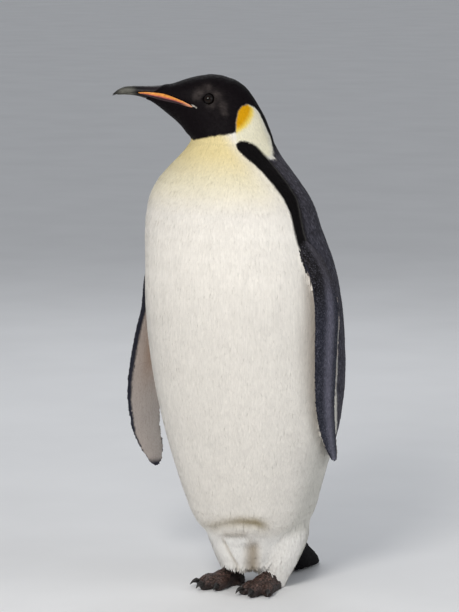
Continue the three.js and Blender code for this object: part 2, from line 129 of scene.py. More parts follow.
def node_arrays(name):
    """A CAD node's welded corners, in the bird's millimetres, and its triangles."""
    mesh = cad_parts[name].data
    mesh.calc_loop_triangles()
    co = np.zeros(len(mesh.vertices) * 3)
    mesh.vertices.foreach_get("co", co)
    tri = np.zeros(len(mesh.loop_triangles) * 3, int)
    mesh.loop_triangles.foreach_get("vertices", tri)
    points = co.reshape(-1, 3) / MM - SHIFT
    _, first, inverse = np.unique(np.round(points, 3), axis=0, return_index=True,
                                  return_inverse=True)
    tri = inverse.reshape(-1)[tri].reshape(-1, 3)
    ok = (tri[:, 0] != tri[:, 1]) & (tri[:, 1] != tri[:, 2]) & (tri[:, 0] != tri[:, 2])
    return points[first], tri[ok]


def joined(shapes):
    """Shapes' points and faces in one, and which of the shapes each face comes from."""
    starts = np.cumsum([0] + [len(points) for points, _ in shapes])
    faces = np.concatenate([faces + start for (_, faces), start in zip(shapes, starts)])
    which = np.repeat(np.arange(len(shapes)), [len(faces) for _, faces in shapes])
    return np.concatenate([points for points, _ in shapes]), faces, which


def make_mesh(name, points, faces):
    """A mesh from points in the bird's millimetres and faces that all have one number of corners."""
    mesh = bpy.data.meshes.new(name)
    mesh.vertices.add(len(points))
    mesh.vertices.foreach_set("co", row(points).astype(np.float32).ravel())
    mesh.loops.add(faces.size)
    mesh.loops.foreach_set("vertex_index", faces.astype(np.int32).ravel())
    mesh.polygons.add(len(faces))
    starts = np.arange(0, faces.size, faces.shape[1], dtype=np.int32)
    mesh.polygons.foreach_set("loop_start", starts)
    mesh.polygons.foreach_set("use_smooth", np.full(len(faces), True))
    mesh.update(calc_edges=True)
    return mesh


def linked(name, data):
    """A new object in the scene."""
    obj = bpy.data.objects.new(name, data)
    bpy.context.scene.collection.objects.link(obj)
    return obj


def make_piece(name, mesh, replaced=()):
    """An object that rides on the root, in place of the CAD nodes that it hides."""
    obj = linked(name, mesh)
    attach(obj, "root")
    if replaced:
        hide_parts(*replaced)
    return obj


def curved(points, tri, level, grow):
    """Triangles cut into level x level smaller ones that bow out, all standing off by grow."""
    a, b, c = (points[tri[:, k]] for k in range(3))
    face = np.cross(b - a, c - a)
    face_unit = unit(face)
    # Each corner's normal comes from the faces round it that lie within the crease angle.
    corner_vertex = tri.ravel()
    order = np.argsort(corner_vertex, kind="stable")
    counts = np.bincount(corner_vertex, minlength=len(points))
    starts = np.concatenate([[0], np.cumsum(counts)[:-1]])
    corner_face = order // 3
    valence = counts[corner_vertex]
    pair_corner = np.repeat(np.arange(len(corner_vertex)), valence)
    offset = np.arange(len(pair_corner)) - np.repeat(np.cumsum(valence) - valence, valence)
    pair_face = corner_face[starts[corner_vertex[pair_corner]] + offset]
    turned = (face_unit[pair_corner // 3] * face_unit[pair_face]).sum(1)
    near = turned > math.cos(math.radians(CREASE_ANGLE))
    normal = np.stack([np.bincount(pair_corner[near], face[pair_face[near], k], len(corner_vertex))
                       for k in range(3)], 1)
    normal = unit(normal).reshape(-1, 3, 3)
    # Barycentric grid of the small triangles' corners.
    grid = [(i, j) for i in range(level + 1) for j in range(level + 1 - i)]
    place = {g: k for k, g in enumerate(grid)}
    share = np.array([[level - i - j, i, j] for i, j in grid]) / level
    small = [(place[i, j], place[i + 1, j], place[i, j + 1]) for i, j in grid if i + j < level]
    small += [(place[i + 1, j], place[i + 1, j + 1], place[i, j + 1])
              for i, j in grid if i + j < level - 1]
    corners = points[tri]
    flat = np.einsum("gk,fkx->fgx", share, corners)
    push = np.zeros_like(flat)
    for k in range(3):
        n = normal[:, k][:, None]
        off = ((flat - corners[:, k][:, None]) * n).sum(2, keepdims=True)
        push -= share[None, :, k, None] * off * n
    out = flat + BEND * push + grow * unit(np.einsum("gk,fkx->fgx", share, normal))
    faces = np.array(small)[None] + (np.arange(len(tri)) * len(grid))[:, None, None]
    return out.reshape(-1, 3), faces.reshape(-1, 3)


def remeshed(parts, voxel, level=3, grow=0.25):
    """One closed quad skin round these CAD nodes, in the bird's millimetres."""
    points, faces, _ = joined([curved(*node_arrays(name), level, grow) for name in parts])
    mesh = make_mesh("soup", points, faces)
    soup = linked("soup", mesh)
    mod = soup.modifiers.new("remesh", "REMESH")
    mod.mode = "VOXEL"
    mod.voxel_size = voxel * MM
    done = soup.evaluated_get(bpy.context.evaluated_depsgraph_get()).to_mesh()
    co, loops = np.zeros(len(done.vertices) * 3), np.zeros(len(done.loops), int)
    done.vertices.foreach_get("co", co)
    done.loops.foreach_get("vertex_index", loops)
    bpy.data.objects.remove(soup)
    bpy.data.meshes.remove(mesh)
    return co.reshape(-1, 3) / MM - SHIFT, loops.reshape(-1, 4)


def tube_faces(first, rings, corners):
    """Triangles between rings of corners that follow one another from the first corner on."""
    faces = []
    for ring in range(rings - 1):
        for j in range(corners):
            p, q = first + corners * ring + j, first + corners * ring + (j + 1) % corners
            faces += [(p, p + corners, q + corners), (p, q + corners, q)]
    return faces


class Around:
    """Averages over the neighbours of each vertex."""

    def __init__(self, faces, count):
        size = faces.shape[1]
        pairs = np.concatenate([faces[:, [k, (k + 1) % size]] for k in range(size)])
        edges = np.unique(np.sort(pairs, 1), axis=0)
        self.a = np.concatenate([edges[:, 0], edges[:, 1]])
        self.b = np.concatenate([edges[:, 1], edges[:, 0]])
        self.count = count
        self.valence = np.maximum(np.bincount(self.a, minlength=count), 1)

    def mean(self, values):
        if values.ndim == 1:
            return np.bincount(self.a, values[self.b], self.count) / self.valence
        return np.stack([self.mean(values[:, k]) for k in range(values.shape[1])], 1)

    def spread(self, values, times):
        for _ in range(times):
            values = 0.5 * values + 0.5 * self.mean(values)
        return values

    def seam(self, meets, times, gain):
        """A share of 1 where the pairs of vertices in meets are, fading out round them."""
        share = np.zeros(self.count)
        share[self.a[meets]] = 1.0
        return np.clip(self.spread(share, times) * gain, 0, 1)

    def settled(self, points, share, rounds):
        """Points drawn towards their neighbours, by a share of each."""
        for _ in range(rounds):
            points = points + 0.5 * share[:, None] * (self.mean(points) - points)
        return points

    def evened(self, points, rounds, strength=1.0):
        """Points smoothed without shrinking; strength is one number or one for each."""
        strength = np.reshape(strength, (-1, 1))
        for _ in range(rounds):
            points = points + SHRINK * strength * (self.mean(points) - points)
            points = points - SWELL * strength * (self.mean(points) - points)
        return points


def vertex_normals(points, faces):
    """Normals at the vertices of quads or triangles."""
    p = [points[faces[:, k]] for k in range(faces.shape[1])]
    face = np.cross(p[2] - p[0], p[3] - p[1]) if len(p) == 4 else np.cross(p[1] - p[0], p[2] - p[0])
    out = np.zeros_like(points)
    for k in range(faces.shape[1]):
        for axis in range(3):
            out[:, axis] += np.bincount(faces[:, k], face[:, axis], len(points))
    return unit(out)


# ---------------------------------------------------------------- the skin's shape

FLESH = ["trunk", "neck", "head", "tail", "flipper_left", "flipper_right",
         "leg_left", "leg_right", "foot_left", "foot_right"]
TRUNK, NECK, HEAD, TAIL, WING_L, WING_R, LEG_L, LEG_R, FOOT_L, FOOT_R = range(len(FLESH))
SKIN_VOXEL = 2.5
EVEN_ROUNDS, BORDER_ROUNDS, JUNCTION_ROUNDS = 22, 10, 60
# How deep the skin lies under the coat's outer face, in mm, for each part of the flesh.
COAT_DEPTH = np.array([2.6, 2.3, 1.5, 2.0, 1.0, 1.0, 2.4, 2.4, 0.3, 0.3])

skin, quads = remeshed(FLESH, SKIN_VOXEL)
around = Around(quads, len(skin))


def nearest_labels(points):
    """The part of the flesh that each point lies nearest to."""
    every, faces, which = joined([node_arrays(name) for name in FLESH])
    tree = BVHTree.FromPolygons(every.tolist(), faces.tolist())
    return which[[tree.find_nearest(p)[2] for p in points.tolist()]]


label = nearest_labels(skin)
in_part = [around.spread((label == k).astype(float), 8) for k in range(len(FLESH))]
wing = np.clip(in_part[WING_L] + in_part[WING_R], 0, 1)
foot = np.clip(in_part[FOOT_L] + in_part[FOOT_R], 0, 1)
head_share = in_part[HEAD]

# Facets go from the body, less so on thin and small parts, and then the borders between parts.
strength = np.clip(1 - 0.45 * wing - 0.35 * foot - 0.2 * head_share, 0.2, 1)
skin = around.evened(skin, EVEN_ROUNDS, strength)
border = around.seam(label[around.a] != label[around.b], 12, 4)
skin = around.settled(skin, border * (1 - 0.7 * wing), BORDER_ROUNDS)
# The legs run into the trunk with no notch.
legs = (label == LEG_L) | (label == LEG_R)
above_feet = label <= LEG_R
meets = (legs[around.a] != legs[around.b]) & above_feet[around.a] & above_feet[around.b]
junction = around.seam(meets, 60, 8) * (1 - wing) * (1 - foot) * smooth(50, 70, skin[:, 2])
skin = around.settled(skin, junction, JUNCTION_ROUNDS)

depth = around.spread(COAT_DEPTH[label], 14)
ahead, _, _ = untwisted(skin)
depth *= 1 - 0.75 * head_share * smooth(55, 95, ahead)  # feathers thin out towards the bill
normal = unit(around.spread(vertex_normals(skin, quads), 2))
skin = skin - normal * depth[:, None]


# The brood fold: its height at an angle round the bird, and how far it reaches up and down
FOLD_LINE, FOLD_REACH = ([-30, -12, 10, 28, 44, 52, 63], [124, 129, 141, 147, 145, 139, 130]), 10.0
# The flap of feathers that hangs under it faces 33 degrees to the left of straight ahead, and its
# edges are given square to that way.
FLAP_ACROSS = (0.839, 0.545)
FLAP_LEFT = ([50, 77, 105], [-17.3, -32.1, -44.9])  # places across, at a height
FLAP_RIGHT = ([50, 77, 96, 106], [-20.0, -13.0, -3.0, -5.0])
FLAP_TOP = (110.3, 0.118)  # its upper edge's height in the middle, and its slope
FOLD_DEEP, RECESS_DEEP, CREASE_DEEP = 2.2, 6.0, 3.0  # mm


def folds(points):
    """Shares of the brood fold, the hanging flap, the recess at its left and the creases round it."""
    a, b, z = untwisted(points)
    x = points[:, 0] * FLAP_ACROSS[0] + points[:, 1] * FLAP_ACROSS[1]
    angle = np.degrees(np.arctan2(b, a))
    fold = within(angle, -42, -8, 46, 68) * hump(z, np.interp(angle, *FOLD_LINE), FOLD_REACH)
    low, high = np.interp(z, *FLAP_LEFT), np.interp(z, *FLAP_RIGHT)
    top = FLAP_TOP[0] + FLAP_TOP[1] * x
    ahead_side = 1 - smooth(-8, 10, points[:, 1])
    under = (1 - smooth(-3, 2, z - top)) * ahead_side
    flap = smooth(-2, 2, x - low) * (1 - smooth(-5, 5, x - high)) * under
    recess = within(x, -16, 8, 8, 28) * (1 - smooth(84, 112, z)) * ahead_side
    crease = hump(x - low, -3, 3.5) * under
    over = smooth(-6, 4, x - low) * (1 - smooth(-4, 6, x - high))
    crease = np.maximum(crease, 0.8 * over * hump(z - top, 8, 8) * ahead_side)
    return fold, flap, recess, crease


def fold_depth(points):
    """How deep the fold, the recess and the creases go, in mm."""
    fold, _, recess, crease = folds(points)
    return FOLD_DEEP * fold + RECESS_DEEP * recess + CREASE_DEEP * crease


trunk_like = np.clip(in_part[TRUNK] + in_part[LEG_L] + in_part[LEG_R], 0, 1)
skin = skin - normal * (fold_depth(skin) * trunk_like)[:, None]
skin[:, 2] = np.maximum(skin[:, 2], 0.0)

# ---------------------------------------------------------------- eyes and their lids

EYE_RADIUS = 10.5
CORNEA = 0.25  # how far the cornea stands off the ball
EYE_OUT = (0.96, 0.12, 0.16)  # how far the eye looks to its side, ahead and up
LID_OPENING = (7.2, 3.9)  # half the opening's length and height
LID_REACH = 17.0  # mm from the eye's middle, as far as the skin is drawn over the ball
LID_SNAP = 0.055  # share of the opening within which points are moved onto its outline
LID_THICK = 0.35
FINER_REACHES = (19.0, 13.0)  # the skin's cells are halved within each of these


def eye_frame(side):
    """The eyeball's centre and the directions ahead, up and out of it, for side +1 left or -1 right."""
    centre = middle("eye_left" if side > 0 else "eye_right") - SHIFT
    out = unit(side * LEFT * EYE_OUT[0] + AHEAD * EYE_OUT[1] + UP * EYE_OUT[2])
    fore = unit(AHEAD - out * (AHEAD @ out))
    up = np.cross(out, fore) * side * -1
    up = up if up[2] > 0 else -up
    return centre, fore, up, out


def finer_near_eyes(points, faces, labels):
    """The same skin in triangles, smaller near each eye, and its vertices' labels."""
    mesh = bpy.data.meshes.new("finer")
    mesh.from_pydata(points.tolist(), [], faces.tolist())
    bm = bmesh.new()
    bm.from_mesh(mesh)
    bpy.data.meshes.remove(mesh)
    layer = bm.verts.layers.float.new("label")
    for vert, value in zip(bm.verts, labels):
        vert[layer] = value
    spots = [Vector(centre + out * 7) for centre, _, _, out in map(eye_frame, (1, -1))]
    for reach in FINER_REACHES:
        chosen = [e for e in bm.edges
                  if any(all((v.co - spot).length < reach for v in e.verts) for spot in spots)]
        bmesh.ops.subdivide_edges(bm, edges=chosen, cuts=1, use_grid_fill=True)
    bmesh.ops.triangulate(bm, faces=bm.faces[:])
    new_points = np.array([v.co[:] for v in bm.verts])
    new_faces = np.array([[v.index for v in f.verts] for f in bm.faces])
    new_labels = np.round([v[layer] for v in bm.verts]).astype(int)
    bm.free()
    return new_points, new_faces, new_labels


skin, skin_faces, label = finer_near_eyes(skin, quads, label.astype(float))


def shape_lids(points):
    """The skin drawn over each eyeball, open in an oval with a soft rim and a shallow fold round it."""
    for side in (1, -1):
        centre, fore, up, out = eye_frame(side)
        rel = points - centre
        u, v, w = rel @ fore, rel @ up, rel @ out
        near = (w > 0) & (np.hypot(u, v) < LID_REACH)
        reach = np.hypot(u / LID_OPENING[0], v / LID_OPENING[1])
        snap = near & (np.abs(reach - 1) < LID_SNAP)
        stretch = np.where(snap, 1 / np.maximum(reach, 0.1), 1.0)
        u, v, reach = u * stretch, v * stretch, np.where(snap, 1.0, reach)
        flat = np.minimum(np.hypot(u, v), EYE_RADIUS - 0.2)
        ball = np.sqrt(np.maximum(EYE_RADIUS ** 2 - flat ** 2, 0.1))
        rim = ball + LID_THICK + 0.2 * hump(reach, 1.12, 0.12)
        blend = smooth(1.15, 2.0, reach)
        lid = rim * (1 - blend) + w * blend - LID_THICK * hump(reach, 1.62, 0.1)
        lid = np.where(reach < 0.999, ball - 1.2 * smooth(1.0, 0.9, reach) - 0.25, lid)
        moved = centre + u[:, None] * fore + v[:, None] * up + lid[:, None] * out
        points = np.where(near[:, None], moved, points)
    return points


skin = shape_lids(skin)
skin_normal = vertex_normals(skin, skin_faces)
face_label = label[skin_faces[:, 0]]
print("skin", len(skin), len(skin_faces))

# ---------------------------------------------------------------- markings


def colour(code):
    """Linear red, green and blue from a hex colour."""
    c = np.array([int(code[k:k + 2], 16) for k in (0, 2, 4)]) / 255
    return np.where(c <= 0.04045, c / 12.92, ((c + 0.055) / 1.055) ** 2.4)


def rgba(code, share=1.0):
    """A hex colour, or a darker share of it, as a shader socket takes it."""
    return (*(colour(code) * share), 1.0)


def mix(a, b, share):
    """One colour, or one for each point, run into another by a share for each point."""
    return a + (b - a) * np.asarray(share)[:, None]


WHITE = colour("f3eee5")
# The trousers' white, brighter than WHITE as painted light bounced up from the floor.
TROUSER_LIT_WHITE = colour("fcf9f3")
PAINTED_BELLY_SHADE = 0.07  # painted shade: how much darker the belly is painted than the breast
FLANK = colour("d9d6cd")
CHEST = colour("ead79a")
PALE_YELLOW = colour("efe6c6")
EAR_ORANGE = colour("d99e08")
EAR_YELLOW = colour("efd460")
EAR_CREAM = colour("ece6cc")
BLACK = colour("0c0a0a")
HOOD = colour("0f0a0d")
BACK = colour("2f2d34")
BACK_TIP = colour("7d7c88")
SHOULDER = colour("3a3638")
WING = colour("2b2c36")
WING_MID = colour("73717f")
# The flipper's underside is white; its grey-beige, ochre and grey tones are painted shade.
WING_INNER_SHADE = colour("bcafa7")
WING_OCHRE = colour("9b7350")
WING_GREY = colour("9c9997")
TAIL_BLACK = colour("0b090b")
SCUTE_DARK = colour("382b29")
SCUTE_WORN = colour("6f564e")
# Painted shadow under the brood fold, painted shade in its creases and the recess beside the flap, and
# the flap's white painted bright as light falling on it.
FOLD_SHADOW = colour("a89a7c")
RECESS_SHADE = colour("b5a793")
FLAP_LIT_WHITE = colour("f8f6f1")
SHEEN = colour("4a4341")
GAPE_WHITE = colour("c9c4ba")

# Where markings lie. Angles go round the untwisted bird, 0 in front and 180 behind.
COLLAR = ([0, 22, 40, 56, 72, 84, 95], [838, 843, 847, 850, 852, 856, 862])  # height at an angle
# The others are angles at a height.
EAR_FRONT = ([838, 856, 868, 880, 891, 899, 904], [74, 84, 89, 94, 99, 107, 124])
EAR_BACK = ([812, 825, 835, 846, 858, 871, 882, 891, 897, 904],
            [106, 126, 139, 146, 149, 152, 153, 151, 146, 128])
# How far back the ear patch is orange, as a share of its width, at a height
EAR_GLOW = ([848, 856, 863, 871, 880, 890, 897], [-0.25, -0.05, 0.14, 0.3, 0.46, 0.61, 0.72])
BAND_FRONT = ([540, 583, 618, 660, 708, 740, 783, 806, 825, 834, 841],
              [92, 76, 72, 69, 68, 66, 69, 68, 66, 69, 80])
BAND_BACK = ([540, 583, 649, 702, 729, 755, 772, 801, 814, 831, 837, 841],
             [92, 77, 77, 76, 77, 80, 83, 89, 93, 96, 91, 80])
BACK_EDGE = ([60, 200, 240, 270, 300, 323, 384, 494, 540, 583],
             [144, 139, 133, 125, 118, 112, 103, 103, 96, 77])
BAND_STARTS = 583  # the height from which the back's edge is the black band's rear edge
# Brownish glints in the black of the face: how far ahead, height and reach, in mm
SHEENS = ((59, 926, 8), (45, 934, 7), (30, 920, 9), (40, 906, 8), (19, 903, 7), (18, 891, 6),
          (66, 919, 7))
# The gape's white corner: its rear end [ahead, z], the way to its front end, and its length
GAPE_END, GAPE_WAY, GAPE_LENGTH = (66.5, 898.4), (0.857, 0.515), 9.0


WING_BANDS = 25


def wing_frame(side):
    """Heights up a flipper, and its leading edge, trailing edge and middle at each."""
    points = skin[label == (WING_L if side > 0 else WING_R)]
    levels = np.linspace(points[:, 2].min(), points[:, 2].max(), WING_BANDS + 1)
    which = np.digitize(points[:, 2], levels)
    bands = [(low, high, points[which == k + 1])
             for k, (low, high) in enumerate(zip(levels[:-1], levels[1:]))]
    bands = [band for band in bands if len(band[2]) > 3]
    return tuple(np.array(values) for values in zip(*(
        ((low + high) / 2, p[:, 1].min(), p[:, 1].max(), p[:, 0].mean()) for low, high, p in bands)))


WING_EDGES = {1: wing_frame(1), -1: wing_frame(-1)}


def chord_share(points, side):
    """0 at the flipper's leading edge and 1 at its trailing edge."""
    heights, lead, trail, _ = WING_EDGES[side]
    low, high = np.interp(points[:, 2], heights, lead), np.interp(points[:, 2], heights, trail)
    return np.clip((points[:, 1] - low) / np.maximum(high - low, 1), 0, 1)


def flipper_markings(points, normals, side):
    """The same as markings(), at points on one flipper."""
    chord, z = chord_share(points, side), points[:, 2]
    outer = smooth(-0.35, 0.15, side * normals[:, 0] + 0.12 * side * normals[:, 1])
    out = mix(WING, WING_MID, within(chord, 0.2, 0.5, 0.55, 0.85) * 0.8)
    out = mix(out, SHOULDER, smooth(540, 620, z) * 0.8)
    out = mix(out, BLACK, smooth(500, 590, z) * (1 - smooth(0.2, 0.5, chord)) * 0.85)
    edge = smooth(0.92, 0.99, chord) * within(z, 240, 300, 500, 540) * 0.8
    out = mix(out, FLANK, edge)
    # The inner face's tones are painted shade: grey-beige, ochre near the body, and greyer lower down
    # and towards the trailing edge.
    ochre = hump(chord, 0.5, 0.22) * within(z, 330, 430, 560, 620) * 0.5
    inner = mix(WING_INNER_SHADE, WING_OCHRE, ochre)
    inner = mix(inner, WING_GREY, (1 - smooth(300, 470, z)) * (0.35 + 0.4 * chord))
    low = z.min()
    inner = mix(inner, WING, np.maximum(smooth(0.12, 0.05, chord), smooth(low + 18, low + 4, z)))
    frost = 0.45 + 0.5 * (1 - smooth(260, 360, z))
    frosted = mix(out, BACK_TIP, frost * (1 - edge))
    return mix(inner, out, outer), mix(inner, frosted, outer), outer * (1 - edge)


def markings(points, normals, labels):
    """Base colour, tip colour and how dark the plumage is, at points on the skin."""
    a, b, z = untwisted(points)
    angle = np.degrees(np.arctan2(np.abs(b), a))

    def at(table):
        return np.interp(z, *table)

    front_fade = 1 - smooth(48, 80, angle)
    base = mix(WHITE, FLANK, smooth(70, 105, angle))
    # Painted shade: the belly darker from above the trousers up to below the breast.
    base = base * (1 - PAINTED_BELLY_SHADE * smooth(620, 500, z) * smooth(110, 170, z))[:, None]
    base = mix(base, PALE_YELLOW, smooth(705, 780, z) * front_fade * 0.9)
    base = mix(base, CHEST, smooth(762, 826, z) * front_fade * 0.85)
    # The ear patch: orange in front, fading to cream behind.
    past_front, past_back = angle - at(EAR_FRONT), angle - at(EAR_BACK)
    share = np.clip(past_front / np.maximum(at(EAR_BACK) - at(EAR_FRONT), 4), 0, 1)
    faded = share - at(EAR_GLOW)
    ear = mix(EAR_ORANGE, EAR_YELLOW, smooth(-0.2, 0.06, faded))
    ear = mix(ear, EAR_CREAM, smooth(-0.02, 0.24, faded))
    ear = mix(ear, FLANK, smooth(0.75, 1.0, share) * 0.7)
    in_ear = smooth(-2, 1, past_front) * (1 - smooth(-1, 2, past_back))
    in_ear = in_ear * within(z, 808, 816, 902, 905)
    base = mix(base, ear, in_ear)
    dark = np.zeros(len(points))
    tip = base.copy()

    def lay(colour_here, tip_here, share_here, dark_here=1.0):
        nonlocal base, tip, dark
        base = mix(base, colour_here, share_here)
        tip = mix(tip, tip_here, share_here)
        dark = dark + (dark_here - dark) * share_here

    # The back is everything behind its edge, below the nape.
    behind = smooth(-1, 1.5, angle - np.where(z < BAND_STARTS, at(BACK_EDGE), at(BAND_BACK)))
    behind = behind * np.where(z > 806, smooth(-2, 2, past_back), 1)
    back = mix(BACK, SHOULDER, smooth(640, 740, z) * 0.35)
    lay(back, mix(back, BACK_TIP, np.full(len(points), 0.6)), behind * (1 - smooth(880, 900, z)))
    lay(HOOD, HOOD, smooth(-1, 1.5, past_back) * smooth(798, 836, z))
    in_band = smooth(-1, 1, angle - at(BAND_FRONT)) * (1 - smooth(-1, 6, angle - at(BAND_BACK)))
    lay(BLACK, HOOD, in_band * within(z, 545, 575, 839, 842))
    hood = smooth(-1.2, 1.2, z - np.interp(angle, *COLLAR))
    hood = hood * (1 - in_ear) * np.where((past_front > 0) & (z < 856), 0, 1)
    lay(HOOD, HOOD, hood)
    face = labels == HEAD
    for ahead_of, up_at, reach in SHEENS:
        glint = np.exp(-((a - ahead_of) ** 2 + (z - up_at) ** 2) / reach ** 2) * face * hood
        glint = glint * (0.75 + 0.25 * np.sin(0.23 * a + 0.31 * z) * np.sin(0.19 * z - 0.27 * a + 1))
        lay(SHEEN, SHEEN, 0.75 * glint)
    # The white line of bare skin at the corner of the gape.
    ahead_of, up_at = a - GAPE_END[0], z - GAPE_END[1]
    along = np.clip(ahead_of * GAPE_WAY[0] + up_at * GAPE_WAY[1], 0, GAPE_LENGTH)
    off = np.hypot(ahead_of - along * GAPE_WAY[0], up_at - along * GAPE_WAY[1])
    line = (1 - smooth(0.5, 1.2, off)) * face * (np.abs(b) > 20)
    lay(GAPE_WHITE, GAPE_WHITE, line, 0.0)

    # The trousers and the belly's underside are pale all round, darker only by the tail, and painted
    # brighter than the belly as light bounced up from the floor.
    lower = (1 - smooth(96, 124, z)) * (1 - smooth(40, 62, -a)) * (labels != TAIL)
    lay(TROUSER_LIT_WHITE, TROUSER_LIT_WHITE, lower, 0.0)
    fold, flap, recess, crease = folds(points)
    trunk_like = (labels == TRUNK) | (labels == LEG_L) | (labels == LEG_R)
    # Painted shadow under the brood fold, stronger towards the bird's left; painted shade in the
    # creases and the recess; painted light on the flap.
    fold_shadow_strength = 0.45 + 0.5 * smooth(0, 45, np.degrees(np.arctan2(b, a)))
    for tint, share_here in ((FOLD_SHADOW, fold * fold_shadow_strength), (RECESS_SHADE, crease * 0.45),
                             (FLAP_LIT_WHITE, flap), (RECESS_SHADE, recess * 0.9)):
        base = mix(base, tint, share_here * trunk_like)
        tip = mix(tip, tint, share_here * trunk_like)

    tail = labels == TAIL
    base[tail], tip[tail], dark[tail] = TAIL_BLACK, TAIL_BLACK * 1.6, 1
    for side, mine in ((1, labels == WING_L), (-1, labels == WING_R)):
        if mine.any():
            found = flipper_markings(points[mine], normals[mine], side)
            base[mine], tip[mine], dark[mine] = found
    return base, tip, dark


def wing_lie(points, side):
    """The way to the flipper's tip, alongside its edges."""
    heights, *lines = WING_EDGES[side]
    chord = chord_share(points, side)
    lead, trail, mid = (np.interp(points[:, 2], heights, np.gradient(line, heights))
                        for line in lines)
    return np.stack([-mid, -lead * (1 - chord) - trail * chord, -np.ones(len(points))], 1)


# ---------------------------------------------------------------- unwrap of the skin

BODY_U, SIDE_U = 0.60, 0.09  # widths of the body's and of a flipper face's place in the map
THIN_U, COLUMN_U = 0.63, 0.092  # where the thin parts' places begin, and from one to the next
WING_U = 0.19  # from one flipper's place to the other's


def unwrap(points, labels, normals):
    """Places on an unwrap of the skin: round and up the body, and flat faces of the thin parts."""
    a, b, z = untwisted(points)
    reach = np.hypot(a, b)
    round_ = np.arctan2(b, a) / (2 * math.pi) + 0.5
    up = np.where(z > 900, 900 + 55 * np.arctan2(z - 900, reach), z)
    up = np.where(z < 110, 110 - 95 * np.arctan2(110 - z, reach), up)
    uv = np.stack([0.005 + BODY_U * round_, (up + 45) / 1050], 1)
    for part, side in ((WING_L, 1), (WING_R, -1)):
        mine = labels == part
        if mine.any():
            outer = side * normals[mine, 0] > 0
            start = THIN_U + (WING_U if side > 0 else 0) + np.where(outer, 0, SIDE_U + 0.004)
            uv[mine, 0] = start + SIDE_U * chord_share(points[mine], side)
            uv[mine, 1] = (points[mine, 2] - 180) / 520 * 0.58 + 0.005
    for part, column in ((LEG_L, 0), (LEG_R, 1), (FOOT_L, 2), (FOOT_R, 3)):
        mine = labels == part
        start, side = THIN_U + COLUMN_U * column, -1 if column % 2 else 1
        if column < 2:
            ring = np.arctan2(points[mine, 1] - 8, points[mine, 0] - side * 50)
            uv[mine, 0] = start + 0.085 * (ring / (2 * math.pi) + 0.5)
            uv[mine, 1] = 0.60 + points[mine, 2] / 150 * 0.1
        else:
            uv[mine, 0] = start + (points[mine, 0] - side * 45) / 1500 + 0.045
            foot_v = np.where(normals[mine, 2] > 0, 0.72, 0.83)
            uv[mine, 1] = foot_v + (points[mine, 1] + 130) / 1700
    mine = labels == TAIL
    top = normals[mine, 2] > 0
    uv[mine, 0] = THIN_U + (points[mine, 0] + 45) / 900 + np.where(top, 0, 0.12)
    uv[mine, 1] = 0.93 + (points[mine, 1] - 60) / 3000
    return uv


def set_uv(mesh, name, loop_uv):
    layer = mesh.uv_layers.new(name=name)
    layer.data.foreach_set("uv", loop_uv.astype(np.float32).ravel())


def set_colour(mesh, rgb):
    layer = mesh.color_attributes.new("Marks", "FLOAT_COLOR", "POINT")
    rgba = np.concatenate([rgb, np.ones((len(rgb), 1))], 1).astype(np.float32)
    layer.data.foreach_set("color", rgba.ravel())


# ---------------------------------------------------------------- coat

# For each part of the flesh, in FLESH's order: how far apart feathers are rooted, in mm
PITCH = np.array([3.15, 2.9, 2.3, 4.0, 2.5, 2.5, 3.2, 3.2, 3.3, 3.3])
# and length and width as multiples of that pitch, then the tip's height and the camber in mm
SIZES = np.array([(4.8, 1.5, 0.8, 0.1), (4.2, 1.45, 0.75, 0.1), (2.9, 1.35, 0.55, 0.1),
                  (4.5, 1.3, 1.2, 0.3), (2.4, 1.35, 0.35, 0.06), (2.4, 1.35, 0.35, 0.06),
                  (4.8, 1.4, 1.6, 0.2), (4.8, 1.4, 1.6, 0.2),
                  (4.6, 1.3, 1.4, 0.2), (4.6, 1.3, 1.4, 0.2)])
SCUTE = (1.45, 1.3, 0.5, 0.35)  # the same for a scute
ANKLE_TOP = 34.0  # feathers begin above this height on the feet; scutes lie below it
FRINGE_FOOT = 36.0  # how high above the floor the hanging feathers end
OVERHANG = 0.45  # how far off the skin a vane's tip may stand on a thin part, in mm
TRIMS = (1.0, 0.8, 0.62, 0.45, 0.3)  # shares that such a vane's length is tried at
ROOT_LIFT = 0.12  # how far off the skin a vane begins, in mm
CROWD = 2.9  # roots tried for each that the pitch leaves room for


def lie_of_coat(points, normals, labels):
    """The way that feathers point: down the body, back over the head, out along wings and tail."""
    a, _, z = untwisted(points)
    way = np.tile([0.0, 0.12, -1.0], (len(points), 1))
    way[:, 1] += 0.9 * smooth(0.2, 0.9, -normals[:, 2]) * (labels == TRUNK)
    over = (smooth(-45, 35, a) * smooth(848, 880, z))[:, None]
    back_over = -AHEAD - UP * (0.15 + 0.4 * smooth(915, 880, z))[:, None]
    way = way * (1 - over) + back_over * over
    for part, side in ((WING_L, 1), (WING_R, -1)):
        way[labels == part] = wing_lie(points[labels == part], side)
    way[labels == TAIL] = (0.0, 0.86, -0.5)
    foot_like = (labels >= LEG_L) & (labels != TAIL)
    way[foot_like] += np.array([0.0, -0.25, 0.0])
    for part, side in ((FOOT_L, 1), (FOOT_R, -1)):
        toe_like = (labels == part) & (z < ANKLE_TOP)
        way[toe_like] = points[toe_like] - np.array([side * 42.0, 14.0, 40.0])
    way = way - normals * (way * normals).sum(1, keepdims=True)
    return unit(way)


def feather_scale(points, labels):
    """Feathers shrink towards the bill and the eyes."""
    a, _, _ = untwisted(points)
    scale = np.ones(len(points))
    face = labels == HEAD
    scale[face] = 1 - 0.42 * smooth(30, 95, a[face])
    for side in (1, -1):
        centre, _, _, out = eye_frame(side)
        away = np.linalg.norm(points - centre - out * EYE_RADIUS * 0.8, axis=1)
        scale = np.where(face, np.minimum(scale, 0.5 + 0.5 * smooth(8, 28, away)), scale)
    return scale


